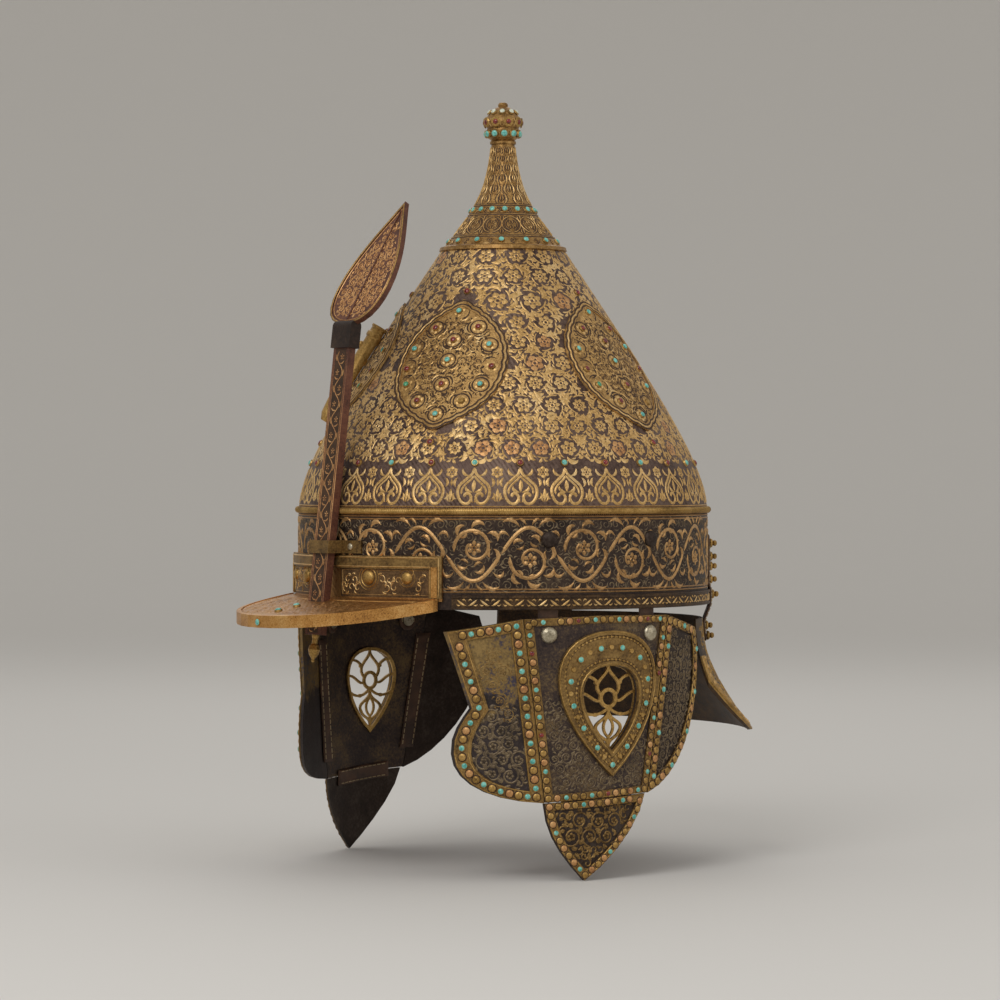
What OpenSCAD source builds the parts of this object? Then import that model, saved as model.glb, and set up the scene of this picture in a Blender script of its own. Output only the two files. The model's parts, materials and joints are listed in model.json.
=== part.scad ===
// Parade helmet with a sliding nasal, hinged cheek pieces and a hung neck guard.
// Millimetres. +Z is up, the face looks along -Y, the wearer's left is +X.
// The origin is on the bowl's axis, in the plane of its lower rim.

/* [Bowl] */
// Outer radius of the straight band
bowl_r = 116.3; // [112:0.1:122]
// Height of the straight band
band_h = 50; // [47:0.5:54]
// Thickness of the steel
wall = 2; // [1.4:0.1:3]
// Height at which the gilt crown cap starts
cap_z = 199.5; // [190:0.5:210]
// Outer radius there
cap_r = 35.6; // [32:0.1:40]
// Height of the top of the neck
neck_z = 261; // [250:0.5:275]
// Outer radius of the top of the neck
neck_r = 6.6; // [5.6:0.1:8]
// Thickness of the gilt crown cap
cap_t = 0.8; // [0.5:0.1:1.2]
// Radius of the finial's tang and of its hole
tang_r = 2.5; // [2:0.1:3]

/* [Finial] */
// Height of the knob above the neck
finial_h = 24; // [18:0.5:30]
// Largest radius of the knob
finial_r = 10.3; // [8:0.1:13]
// Length of the tang in the neck
tang_l = 18; // [10:0.5:22]

/* [Mouldings and medallions] */
// Height of the rope moulding's middle
moulding_z = 53.3; // [52:0.1:58]
// Radius of the rope moulding's half round
moulding_r = 1.6; // [1:0.1:2.4]
// Height of the gilt border strip on the rim
border_h = 8; // [6:0.5:10]
// Thickness of the border strip
border_t = 1; // [0.6:0.1:1.4]
// Height of the medallions' centres
medal_z = 134; // [125:0.5:142]
// Length of a medallion, up the dome
medal_l = 86; // [70:1:92]
// Width of a medallion
medal_w = 66; // [50:1:72]
// Thickness of a medallion's plate
medal_t = 0.7; // [0.5:0.1:1]
// Height of a medallion's raised border
medal_edge_t = 1.2; // [1:0.1:1.6]
// Width of a medallion's raised border
medal_edge_w = 4; // [3:0.5:6]
// Angle of the front medallions from the front
medal_front_a = 30.5; // [28:0.5:34]
// Angle of the side medallions from the front
medal_side_a = 106; // [100:1:112]

/* [Visor] */
// Half angle of the flange on the band
flange_a = 36.8; // [36:0.1:38]
// Height of the flange's top edge
flange_top = 29; // [27:0.5:29.5]
// Height of the peak at the band
visor_z = 6; // [5:0.5:8]
// Reach of the peak from the band
peak_out = 50.7; // [42:0.1:58]
// How far the peak's sides lie inside the flange's ends
peak_inset = 0.6; // [0.5:0.1:2]
// Fall of the peak in each millimetre outwards
peak_fall = 0.2; // [0.1:0.01:0.25]
// Thickness of the visor's steel
visor_t = 1.6; // [1:0.1:2]
// Depth of the turned-down rim
peak_rim_h = 6; // [4:0.5:8]
// Thickness of the turned-down rim
peak_rim_t = 2.4; // [1.5:0.1:3]
// Width of the flange's gilt border
trim_w = 7; // [4:0.5:8]
// Thickness of the flange's gilt border
trim_t = 1.2; // [0.6:0.1:1.4]
// Angle of the rosette from the front
rosette_a = 14.6; // [13:0.1:17]
// Radius of the rosette
rosette_r = 4; // [3:0.1:5]
// Angle of the visor's outer rivet from the front
visor_rivet_a = 26.8; // [24:0.1:29]

/* [Nasal] */
// Width of the bar
bar_w = 15; // [12:0.5:17]
// Thickness of the bar
bar_t = 4.2; // [3:0.1:4.6]
// Distance of the bar's middle from the band at the rim's height
bar_gap = 10.9; // [10.3:0.1:12.6]
// Backward lean of the bar, in degrees
bar_lean = 7.06; // [6:0.02:8]
// Length of the bar above the rim's height
bar_up = 156; // [140:1:165]
// Length of the bar below the rim's height
bar_down = 15; // [12:1:20]
// Gap round the bar in its slot and staple
slide_gap = 0.3; // [0.2:0.05:0.5]
// Length of the leaf
leaf_l = 79; // [60:1:90]
// Width of the leaf
leaf_w = 47; // [36:1:54]
// Thickness of the leaf
leaf_t = 2; // [1.4:0.1:2.6]
// Backward lean of the leaf, in degrees
leaf_lean = 31; // [24:1:34]
// Radius of the knob under the bar
knob_r = 3.3; // [2.4:0.1:5]
// Height of the staple's middle
staple_z = 33.5; // [33:0.5:36]
// Height of the staple
staple_h = 7; // [5:0.5:7.5]
// Thickness of the staple
staple_t = 1.6; // [1:0.1:2]
// Width of the leaf spring behind the bar
spring_w = 9; // [6:0.5:11]
// Thickness of the leaf spring
spring_t = 0.6; // [0.4:0.05:0.8]

/* [Plume socket] */
// Angle of the socket from the front, on the wearer's right
plume_a = 32; // [28:0.5:36]
// Height of the socket's lower end
plume_z = 101; // [96:1:106]
// Length of the socket
plume_l = 62; // [50:1:66]
// Outer radius of the socket
plume_r = 5.4; // [4.4:0.1:6]
// Radius of the bore for a plume's quill
plume_bore_r = 2.6; // [2:0.1:3]
// Depth of the bore
plume_bore_l = 45; // [30:1:48]

/* [Cheek pieces] */
// How far the curved plates' outside lies inside the band's outside
cheek_step = 0.3; // [0.1:0.05:1.3]
// Thickness of the plates
cheek_t = 1.6; // [1.2:0.1:2]
// Gap between neighbouring plates
seam_gap = 0.6; // [0.5:0.1:1]
// Height of the centre plate's top edge
cheek_top = -3.4; // [-5:0.1:-3.2]
// Height of the centre plate's lower end, at its front
cheek_low = -104.5; // [-112:0.5:-100]
// Place of the front seam along Y, at its top
seam_front_y = -61; // [-63:0.5:-60]
// Place of the rear seam along Y, at its top
seam_rear_y = 27.7; // [26:0.1:30]
// Place of the front plate's top corner along Y
front_corner_y = -91.9; // [-93:0.1:-90]
// Most forward reach of the front plate's lobe along Y
lobe_y = -89.3; // [-91:0.1:-86]
// Rearmost reach of the rear plate along Y
rear_y = 60; // [56:0.5:62]
// Height of the lower plate's tip
tip_z = -146.8; // [-155:0.2:-138]
// Width of the plates' gilt borders
cheek_border_w = 5; // [3:0.5:5.5]
// Thickness of the gilt borders
cheek_border_t = 0.8; // [0.5:0.1:1.2]
// Middle of the ear window along Y
ear_y = -13.5; // [-15:0.5:-12]
// Height of the ear window's top
ear_top = -30.5; // [-32:0.5:-29]
// Height of the ear window's lower tip
ear_tip = -77.3; // [-80:0.5:-74]
// Half width of the ear window
ear_half_w = 18; // [15:0.5:19]
// Half width of the raised frame round the ear window
frame_half_w = 31; // [28:0.5:31]
// Height of the frame's top
frame_top = -11.5; // [-14:0.5:-11]
// Height of the frame's lower tip
frame_tip = -91; // [-94:0.5:-86]
// Thickness of the frame
frame_t = 1.5; // [1:0.1:2]
// Thickness of the openwork grille
grille_t = 1.2; // [0.8:0.1:1.3]
// Width of the grille's ribs
rib_w = 1.5; // [1.1:0.1:2]

/* [Straps and rivets] */
// Width of the cheek straps
strap_w = 11; // [8:0.5:12]
// Thickness of the leather
strap_t = 1.5; // [1:0.1:1.8]
// Angle of the front strap, forward of the side
strap_front_a = 24.6; // [24:0.1:25.4]
// Angle of the rear strap, behind the side
strap_rear_a = 6.9; // [5:0.1:8]
// Height of the strap rivets on the band
strap_rivet_z = 38; // [36:0.5:40]
// Height of the strap rivets on the cheek piece
cheek_rivet_z = -13.5; // [-15:0.1:-13]
// Radius of the domed rivet heads
head_r = 4.6; // [3.6:0.1:4.8]
// Height of the domed rivet heads
head_h = 2.8; // [1.8:0.1:3.6]
// Radius of the rivets' shanks
shank_r = 1.4; // [1:0.1:1.6]
// Radius of the washers inside
washer_r = 3.4; // [2.6:0.1:3.8]

/* [Neck guard] */
// How far the guard's top edge lies inside the band's outside
guard_step = 2.8; // [2.5:0.05:3.3]
// Height of the guard's top edge
guard_top = -8; // [-9:0.5:-7.5]
// How far the guard's lower edge stands out from its top edge
guard_flare = 27.5; // [17:0.5:34]
// Height of the guard's lower edge
guard_low = -72; // [-84:1:-64]
// Thickness of the guard
guard_t = 1.5; // [1.2:0.1:2]
// Y of the guard's front edges
guard_y = 65.5; // [65.5:0.5:72]
// Half width of the guard at its rounded lower corners
guard_half_w = 104; // [92:1:110]
// Width of the guard's gilt border
guard_border_w = 6; // [4:0.5:8]
// Thickness of the guard's gilt border
guard_border_t = 1.2; // [0.8:0.1:1.6]
// Angle of the guard's straps from the front
guard_strap_a = 145; // [140:0.5:150]
// Width of the guard's straps
guard_strap_w = 12; // [9:0.5:14]

/* [Lining] */
// Thickness of the quilted lining
lining_t = 6; // [4:0.5:8]
// Height of the lining's lower edge
lining_low = 3; // [2:0.5:8]

/* [Hidden] */
$fn = 96;
// Clearance between pieces that are seated on each other
seat = 0.05;
steel = "#4b3a3a";
gilt = "#c49a4a";
dark_gilt = "#8f7440";
silver = "#b9ae95";
leather = "#5a3c28";
linen = "#7c3b30";
nasal_brown = "#7a4a3a";

function unit(v) = v / norm(v);
// Point, direction and offset point of a cubic curve p at t
function on(p, t) = pow(1 - t, 3) * p[0] + 3 * pow(1 - t, 2) * t * p[1]
  + 3 * (1 - t) * t * t * p[2] + pow(t, 3) * p[3];
function along(p, t) = pow(1 - t, 2) * (p[1] - p[0]) + 2 * (1 - t) * t * (p[2] - p[1])
  + t * t * (p[3] - p[2]);
function off(p, t, d) = let(v = unit(along(p, t))) on(p, t) + d * [v[1], -v[0]];
// Points along a curve at offset d, from t0 to t1
function skin(p, n, d = 0, t0 = 0, t1 = 1) = [for (i = [0:n]) off(p, t0 + (t1 - t0) * i / n, d)];
function flip(p) = [for (i = [len(p) - 1:-1:0]) p[i]];
function mirrored(p) = [for (q = flip(p)) [-q[0], q[1]]];
function moved(p, v) = [for (q = p) q + v];
function left_of(v) = [-v[1], v[0]];
// An anticlockwise outline drawn in by d
function inset(p, d) = let(n = len(p)) [for (i = [0:n - 1])
  let(a = left_of(unit(p[i] - p[(i + n - 1) % n])), b = left_of(unit(p[(i + 1) % n] - p[i])))
  p[i] + d * (a + b) / (1 + a * b)];

cheek_r = bowl_r - cheek_step;
guard_top_r = bowl_r - guard_step;
guard_low_r = guard_top_r + guard_flare;
peak_reach = bowl_r + peak_out;
bar_y = bowl_r + bar_gap;

// The dome runs from the band to the cap, and the neck from there to the finial
dome = [[bowl_r, band_h], [bowl_r, band_h + 24], [cap_r + 0.672 * 94, cap_z - 94],
  [cap_r, cap_z]];
neck = [[cap_r, cap_z], [cap_r - 18.7, cap_z + 24], [neck_r + 3, neck_z - 30],
  [neck_r, neck_z]];
inner_r = bowl_r - wall;
// Where the dome reaches height z, its radius there and the rise of the line between two heights
function dome_t(z, a = 0, b = 1, n = 30) = let(m = (a + b) / 2)
  n == 0 ? m : on(dome, m)[1] < z ? dome_t(z, m, b, n - 1) : dome_t(z, a, m, n - 1);
function dome_r(z) = on(dome, dome_t(z))[0];
function dome_rise(z0, z1) = atan2(z1 - z0, dome_r(z0) - dome_r(z1));
steps = 14;
cavity_end = 0.5;

module lathe(points) { rotate_extrude() polygon(points); }
// Part of a ring, from angle a0 to a1 measured from +X
module arc_band(r0, r1, z0, z1, a0, a1) {
  rotate_extrude(angle = a1 - a0, start = a0)
    polygon([[r0, z0], [r1, z0], [r1, z1], [r0, z1]]);
}
// Places children on a wall: x points out at angle a, at height z
module at(a, z) { rotate([0, 0, a]) translate([0, 0, z]) children(); }
// A rivet along x: domed head outside r_out, shank down to r_in, washer inside that
module rivet(r_out, r_in, hr = head_r, hh = head_h, sr = shank_r, washer = 0) {
  rotate([0, 90, 0]) {
    translate([0, 0, r_out]) lathe(concat([[0, 0]],
      [for (i = [0:6]) [hr * cos(15 * i), hh * sin(15 * i)]]));
    translate([0, 0, r_in]) cylinder(r = sr, h = r_out - r_in + seat);
    if (washer > 0) translate([0, 0, r_in]) cylinder(r = washer, h = washer_t);
  }
}
module shank_hole(r0, r1, sr = shank_r) {
  rotate([0, 90, 0]) translate([0, 0, r0]) cylinder(r = sr, h = r1 - r0);
}
washer_t = 0.8;

// Everything inside the dome's skin at offset d
module dome_solid(d) {
  lathe(concat([[0, 0], [bowl_r + d, 0]], skin(dome, steps, d), [[0, cap_z + d]]));
}

// Straps: inside the band and the plates, each at its own angle
strap_angles = [-strap_front_a, strap_rear_a];
strap_out = min(inner_r, cheek_r - cheek_t) - 0.15;
strap_in = strap_out - strap_t;
strap_end = 6;
strap_top = strap_rivet_z + strap_end;
strap_low = cheek_rivet_z - strap_end;
washer_in = strap_in - seat - washer_t;
module strap_rivet_holes(z, r0, r1) {
  for (a = strap_angles) at(a, z) shank_hole(r0, r1, shank_r + seat);
}
module both_sides() {
  children();
  mirror([1, 0, 0]) children();
}

// Bosses on the neck guard's straps
knob_zs = [34, 26.5, 21, 13.5];
border_knob_z = 5;
guard_knob_zs = [-12.8, -18.6];
guard_strap_angle = guard_strap_a - 90;
guard_strap_top = knob_zs[0] + 5;
guard_strap_low_t = 0.19;
guard_strap_half_a = guard_strap_w / bowl_r * 90 / PI;
guard_curve = [[guard_top_r, guard_top], [guard_top_r, guard_top - 26],
  [guard_low_r - 15, guard_low + 24], [guard_low_r, guard_low]];
neck_shank_r = 1;
module neck_knob_holes(zs, r0, r1) {
  both_sides() for (z = zs) at(guard_strap_angle, z) shank_hole(r0, r1, neck_shank_r);
}

staple_foot_a = 7.6;
spring_foot_z = 45.5;
module band_holes() {
  r0 = inner_r - 5;
  r1 = bowl_r + 5;
  both_sides() {
    strap_rivet_holes(strap_rivet_z, r0, r1);
    at(rosette_a - 90, visor_rivet_z) shank_hole(r0, r1);
    at(visor_rivet_a - 90, visor_rivet_z) shank_hole(r0, r1);
    at(staple_foot_a - 90, staple_z) shank_hole(r0, r1, small_shank_r);
  }
  at(-90, spring_foot_z) shank_hole(r0, r1, small_shank_r);
  neck_knob_holes(knob_zs, r0, r1);
  neck_knob_holes([border_knob_z], r0, r1);
}
small_shank_r = 0.8;
visor_rivet_z = 17;

// The dome and the band are one steel skull, kept as two nodes that meet under the moulding
module skull() {
  lathe(concat([[inner_r, 0], [bowl_r, 0]], skin(dome, steps),
    skin(neck, steps, -cap_t), [[tang_r, neck_z]],
    [[tang_r, on(neck, cavity_end)[1]]],
    flip(skin(neck, 6, -cap_t - wall, 0, cavity_end)), flip(skin(dome, steps, -wall))));
}
module below(z) { translate([0, 0, z - 300]) cylinder(r = bowl_r + 10, h = 300); }
module bowl() {
  color(steel) difference() {
    skull();
    below(moulding_z);
  }
}
module band() {
  color(steel) difference() {
    intersection() {
      skull();
      below(moulding_z - seat);
    }
    band_holes();
  }
}
cap_bead = 0.8;
module crown_cap() {
  color(gilt) lathe(concat([[cap_r + seat, cap_z + 0.12], [cap_r + cap_bead, cap_z + 0.6],
    [cap_r + cap_bead - 0.6, cap_z + 2.6]],
    skin(neck, steps, 0, 0.05), flip(skin(neck, steps, seat - cap_t))));
}
module finial() {
  h = finial_h;
  r = finial_r;
  color(gilt) translate([0, 0, neck_z]) lathe([[0, -tang_l], [tang_r, -tang_l], [tang_r, seat],
    [0.72 * r, seat], [0.72 * r, 0.06 * h], [0.64 * r, 0.09 * h], [0.82 * r, 0.15 * h],
    [0.9 * r, 0.24 * h], [0.9 * r, 0.33 * h], [0.86 * r, 0.38 * h], [0.97 * r, 0.45 * h],
    [r, 0.52 * h], [0.97 * r, 0.6 * h], [0.86 * r, 0.67 * h], [0.8 * r, 0.7 * h],
    [0.66 * r, 0.79 * h], [0.42 * r, 0.86 * h], [0.26 * r, 0.89 * h], [0.28 * r, 0.94 * h],
    [0.2 * r, 0.985 * h], [0, h]]);
}
module upper_moulding() {
  r0 = bowl_r + seat;
  color(gilt) rotate_extrude() intersection() {
    translate([r0, moulding_z]) circle(moulding_r, $fn = 48);
    difference() {
      translate([r0 - moulding_r, moulding_z - moulding_r]) square([2 * moulding_r, 2 * moulding_r]);
      polygon(concat([[0, 0], [r0, 0]], skin(dome, steps, seat), [[0, cap_z]]));
    }
  }
}
border_a = flange_a + 2.5;
module brim_border() {
  r0 = bowl_r + seat;
  r1 = bowl_r + border_t;
  cut_a = 1.06 * guard_strap_half_a;
  color(gilt) difference() {
    rotate_extrude(angle = 360 - 2 * border_a, start = border_a - 90)
      polygon([[r0, 0], [r1, 0], [r1 + 0.5, 0.4], [r1 + 0.5, 1.4], [r1, 1.8],
        [r1, border_h - 1.8], [r1 + 0.5, border_h - 1.4], [r1 + 0.5, border_h - 0.4],
        [r1, border_h], [r0, border_h]]);
    both_sides() arc_band(r1, r1 + 2, -1, border_h + 1, guard_strap_angle - cut_a, guard_strap_angle + cut_a);
    neck_knob_holes([border_knob_z], bowl_r - 1, bowl_r + 5);
  }
}

// Medallions: pointed ovals on the dome's own curve
medal_quarter = [[medal_l / 2, 0], [0.41 * medal_l, 0.23 * medal_w], [0.3 * medal_l, 0.5 * medal_w],
  [0, 0.5 * medal_w]];
medal_half = let(q = skin(medal_quarter, 8)) concat(q, [for (i = [7:-1:0]) [-q[i][0], q[i][1]]]);
medal_outline = concat(medal_half, [for (i = [len(medal_half) - 2:-1:1]) [medal_half[i][0], -medal_half[i][1]]]);
medal_rise = 90 - dome_rise(medal_z - medal_l / 3, medal_z + medal_l / 3);
medal_seat_r = dome_r(medal_z);
module dome_shell(d0, d1) {
  lathe(concat(skin(dome, steps, d1, 0.1, 0.98), flip(skin(dome, steps, d0, 0.1, 0.98))));
}
module medal_prism(outline) {
  translate([medal_seat_r, 0, medal_z]) rotate([0, 90 - medal_rise, 0])
    linear_extrude(36, center = true) polygon(outline);
}
module medallion(a) {
  color(gilt) rotate([0, 0, a]) {
    intersection() {
      dome_shell(seat, medal_t);
      medal_prism(medal_outline);
    }
    intersection() {
      dome_shell(seat, medal_edge_t);
      difference() {
        medal_prism(medal_outline);
        medal_prism(inset(medal_outline, medal_edge_w));
      }
    }
  }
}

// Visor: a flange riveted to the band and a peak that falls outwards
flange_end = (bowl_r + visor_t) * [sin(flange_a), -cos(flange_a)];
peak_half_w = flange_end[0] - peak_inset;
peak_side = [[0, -peak_reach], [0.54 * peak_half_w, -peak_reach],
  [0.94 * peak_half_w, -peak_reach + 27], [peak_half_w, flange_end[1] - 5.6]];
peak_end = [peak_half_w - 1.5, flange_end[1] + 6.4];
peak_outline = concat([[-peak_end[0], peak_end[1]]],
  [for (q = flip(skin(peak_side, 10))) [-q[0], q[1]]],
  [for (i = [1:10]) on(peak_side, i / 10)], [peak_end]);
function peak_h(r) = visor_z - peak_fall * (r - bowl_r);
peak_far = peak_reach + 20;
// A cone-shaped layer over the peak, from a above its top face to b, outside radius r0
module peak_layer(a, b, r0 = bowl_r + seat) {
  lathe([[r0, peak_h(r0) + a], [r0, peak_h(r0) + b], [peak_far, peak_h(peak_far) + b],
    [peak_far, peak_h(peak_far) + a]]);
}
module peak_prism(d) {
  translate([0, 0, -60]) linear_extrude(100)
    polygon(concat([[-60, -60]], inset(peak_outline, d), [[60, -60]]));
}
module on_bar_line() { translate([0, -bar_y, 0]) rotate([-bar_lean, 0, 0]) children(); }
module bar_box(low, high, gap = 0) {
  on_bar_line() translate([-bar_w / 2 - gap, -bar_t / 2 - gap, low])
    cube([bar_w + 2 * gap, bar_t + 2 * gap, high - low]);
}
module visor_rivet_places() {
  both_sides() at(rosette_a - 90, visor_rivet_z) children(0);
  both_sides() at(visor_rivet_a - 90, visor_rivet_z) children(1);
}
module visor() {
  r0 = bowl_r + seat;
  color(dark_gilt) difference() {
    union() {
      arc_band(r0, bowl_r + visor_t, visor_z - visor_t, flange_top, -90 - flange_a, -90 + flange_a);
      intersection() {
        peak_layer(-visor_t, 0);
        peak_prism(peak_rim_t + seat);
      }
    }
    bar_box(-20, 20, slide_gap);
    visor_rivet_places() {
      shank_hole(bowl_r - 1, bowl_r + 5);
      shank_hole(bowl_r - 1, bowl_r + 5);
    }
  }
}
module visor_trim() {
  r0 = bowl_r + visor_t + seat;
  r1 = r0 + trim_t;
  a1 = trim_w / bowl_r * 180 / PI;
  low = visor_z + seat;
  color(gilt) difference() {
    arc_band(r0, r1, low, flange_top, -90 - flange_a, -90 + flange_a);
    arc_band(r0 - 1, r1 + 1, low - 1, flange_top - trim_w, -90 - flange_a + a1, -90 + flange_a - a1);
  }
}
module visor_rim() {
  color(gilt) intersection() {
    peak_layer(-peak_rim_h, 0.7, bowl_r + visor_t + trim_t + 2 * seat);
    difference() {
      peak_prism(0);
      peak_prism(peak_rim_t);
    }
  }
}
module visor_rivets() {
  out = bowl_r + visor_t + seat;
  visor_rivet_places() {
    color(gilt) rivet(out, inner_r, rosette_r, 2.2);
    color(silver) rivet(out, inner_r, 3.4, 2);
  }
}

// Nasal: a flat bar on a slanted line, with a leaf above and a knob below
collar_l = 12;
collar_wall = 1.4;
leaf_foot = 1.9 + leaf_t / 2 * sin(leaf_lean - bar_lean) + 0.3;
stem_l = 5;
module leaf_place() {
  on_bar_line() translate([0, 0, bar_up + leaf_foot]) rotate([bar_lean - leaf_lean, 0, 0]) children();
}
leaf_low = [[0, -2], [0.42 * leaf_w, -2], [0.56 * leaf_w, 0.14 * leaf_l], [0.5 * leaf_w, 0.36 * leaf_l]];
leaf_high = [[0.5 * leaf_w, 0.36 * leaf_l], [0.44 * leaf_w, 0.6 * leaf_l],
  [0.16 * leaf_w, 0.82 * leaf_l], [0, leaf_l]];
leaf_half = concat(skin(leaf_low, 7), [for (i = [1:10]) on(leaf_high, i / 10)]);
leaf_outline = concat(leaf_half, [for (i = [len(leaf_half) - 2:-1:1]) [-leaf_half[i][0], leaf_half[i][1]]]);
module leaf_plate(outline, t) {
  leaf_place() rotate([90, 0, 0]) linear_extrude(t, center = true) polygon(outline);
}
module nasal_bar() {
  color(nasal_brown) bar_box(-bar_down, bar_up);
}
module nasal_leaf() {
  rib = 1.6;
  color(nasal_brown) {
    leaf_plate(leaf_outline, leaf_t);
    difference() {
      leaf_plate(leaf_outline, leaf_t + 1);
      leaf_plate(inset(leaf_outline, rib), leaf_t + 2);
    }
    leaf_plate([[-rib / 2, 2], [rib / 2, 2], [rib / 4, leaf_l - 6], [-rib / 4, leaf_l - 6]], leaf_t + 1);
  }
}
module nasal_collar() {
  w = bar_w + 2 * collar_wall;
  t = bar_t + 2 * collar_wall;
  color(dark_gilt) difference() {
    union() {
      on_bar_line() translate([-w / 2, -t / 2, bar_up - collar_l]) cube([w, t, collar_l]);
      on_bar_line() translate([0, 0, bar_up]) rotate([0, 90, 0]) cylinder(r = t / 2, h = w, center = true);
    }
    bar_box(-bar_down, bar_up);
    leaf_plate(leaf_outline, leaf_t + 1 + 2 * seat);
  }
}
module nasal_knob() {
  r = knob_r;
  color(gilt) on_bar_line() translate([0, 0, -bar_down])
    lathe([[0, -stem_l - 3.2 * r], [0.3 * r, -stem_l - 2.9 * r], [0.25 * r, -stem_l - 2.6 * r],
      [0.8 * r, -stem_l - 1.8 * r], [r, -stem_l - r], [0.8 * r, -stem_l - 0.3 * r], [0.5 * r, -stem_l],
      [0.5 * r, -2], [0.62 * r, -1], [0.62 * r, -seat], [0, -seat]]);
}
// The staple holds the bar to the band, and the spring behind it makes it drag
function bar_back(z) = bar_y - tan(bar_lean) * z - bar_t / 2 / cos(bar_lean);
staple_half_w = bar_w / 2 + slide_gap + staple_t;
module nasal_staple() {
  low = staple_z - staple_h / 2;
  top = staple_z + staple_h / 2;
  foot_r = bowl_r + 1.4;
  a0 = asin((bar_w / 2 + slide_gap + 0.2) / bowl_r);
  a1 = 2 * staple_foot_a - a0 + 0.4;
  color(dark_gilt) {
    difference() {
      intersection() {
        on_bar_line() translate([-staple_half_w, -bar_t / 2 - slide_gap - staple_t, 0])
          cube([2 * staple_half_w, bar_t + 20, 80]);
        translate([-50, -150, low]) cube([100, 100, staple_h]);
      }
      cylinder(r = bowl_r + 0.7, h = 60);
      on_bar_line() translate([-bar_w / 2 - slide_gap, -bar_t / 2 - slide_gap, 0])
        cube([bar_w + 2 * slide_gap, bar_t + 20, 80]);
    }
    both_sides() difference() {
      arc_band(bowl_r + seat, foot_r, low, top, -90 + a0, -90 + a1);
      at(staple_foot_a - 90, staple_z) shank_hole(bowl_r - 1, foot_r + 1, small_shank_r);
    }
  }
}
module nasal_spring() {
  foot = bowl_r + 0.15;
  top = spring_foot_z + 3;
  low = spring_foot_z - 3;
  bow_z = staple_z - 1;
  bow = bar_back(bow_z) - slide_gap;
  tail = bowl_r + visor_t + trim_t - 0.6;
  color(silver) difference() {
    rotate([90, 0, -90]) translate([0, 0, -spring_w / 2]) linear_extrude(spring_w)
      polygon([[foot, top], [foot, low], [bow - spring_t, bow_z + 1], [bow - spring_t, bow_z - 1],
        [tail, flange_top + 0.8], [tail + spring_t, flange_top + 0.8], [bow, bow_z - 1],
        [bow, bow_z + 1], [foot + spring_t, low], [foot + spring_t, top]]);
    at(-90, spring_foot_z) shank_hole(bowl_r - 2, bowl_r + 5, small_shank_r);
  }
}
module staple_rivets() {
  color(silver) {
    both_sides() at(staple_foot_a - 90, staple_z)
      rivet(bowl_r + 1.4 + seat, inner_r, 2, 1, small_shank_r);
    at(-90, spring_foot_z) rivet(bowl_r + 0.15 + spring_t + seat, inner_r, 1.8, 0.6, small_shank_r);
  }
}

// Plume socket: a tube lying up the dome, over the right front medallion
plume_sink = 0.4;
plume_low_r = dome_r(plume_z) - plume_sink;
plume_rise = dome_rise(plume_z, plume_z + 0.86 * plume_l);
module plume_line() {
  rotate([0, 0, -90 - plume_a]) translate([plume_low_r, 0, plume_z])
    rotate([0, plume_rise - 90, 0]) translate([plume_r - 1.2, 0, 0]) children();
}
module plume_socket() {
  r = plume_r;
  l = plume_l;
  bore_r = plume_bore_r;
  color(gilt) difference() {
    union() {
      plume_line() lathe([[0, 0], [0.5 * r, 0], [0.85 * r, 4], [r, 12], [r, l - 8], [r + 0.8, l - 7],
        [r + 0.8, l - 5], [r, l - 4], [r, l - 1.6], [r + 0.6, l - 1], [r + 0.6, l],
        [bore_r, l], [bore_r, l - plume_bore_l], [0, l - plume_bore_l]]);
      plume_line() translate([r, 0, l - 14]) sphere(2.2, $fn = 32);
    }
    dome_solid(medal_edge_t + 2 * seat);
    plume_line() translate([0, 0, l - plume_bore_l]) cylinder(r = bore_r, h = plume_bore_l + 1);
  }
}
module band_rivets() {
  color(silver) both_sides() for (a = strap_angles) at(a, strap_rivet_z)
    rivet(bowl_r + seat, washer_in, washer = washer_r);
}
// The lining is also kept as two nodes, a band and a crown
module lining_shell() {
  d0 = -wall - 0.2;
  d1 = d0 - lining_t;
  lathe(concat([[bowl_r + d1, lining_low], [bowl_r + d0, lining_low]], skin(dome, steps, d0, 0, 0.88),
    [[0, on(dome, 0.88)[1] + 1]], [[0, on(dome, 0.88)[1] - lining_t]],
    flip(skin(dome, steps, d1, 0, 0.86))));
}
module lining() {
  color(linen) difference() {
    lining_shell();
    below(moulding_z);
  }
}
module lining_band() {
  pocket = strap_in - 0.3;
  color(linen) difference() {
    intersection() {
      lining_shell();
      below(moulding_z - seat);
    }
    both_sides() for (a = strap_angles) at(a, 0) {
      translate([pocket, -strap_w / 2 - 0.5, 0]) cube([bowl_r - pocket, strap_w + 1, strap_top + 1]);
      translate([washer_in - 0.4, 0, strap_rivet_z]) rotate([0, 90, 0])
        cylinder(r = washer_r + 0.5, h = bowl_r - washer_in);
    }
  }
}

// Cheek pieces: outlines are in the plane of Y and Z, and lie on one cylinder
plate_in = cheek_r - cheek_t;
front_seam = [[seam_front_y, cheek_top - 1.6], [seam_front_y + 10.1, cheek_low]];
rear_seam = [[seam_rear_y, cheek_top - 0.6], [seam_rear_y - 16.4, cheek_low + 3.5]];
half_seam = [seam_gap / 2, 0];
half_drop = [0, seam_gap / 2];
centre_outline = [front_seam[1] + half_seam + half_drop, rear_seam[1] - half_seam + half_drop,
  rear_seam[0] - half_seam, [-20, cheek_top], front_seam[0] + half_seam];
notch = [front_corner_y + 9.3, cheek_top - 49.8];
lobe_z = cheek_low + 26.5;
front_lobe = concat(skin([notch, notch + [-3, -6], [lobe_y - 0.6, lobe_z + 11], [lobe_y, lobe_z]], 4),
  [for (i = [1:7]) on([[lobe_y, lobe_z], [lobe_y + 0.6, cheek_low + 11], [lobe_y + 12, cheek_low + 1.2],
    front_seam[1] - half_seam], i / 7)]);
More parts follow.
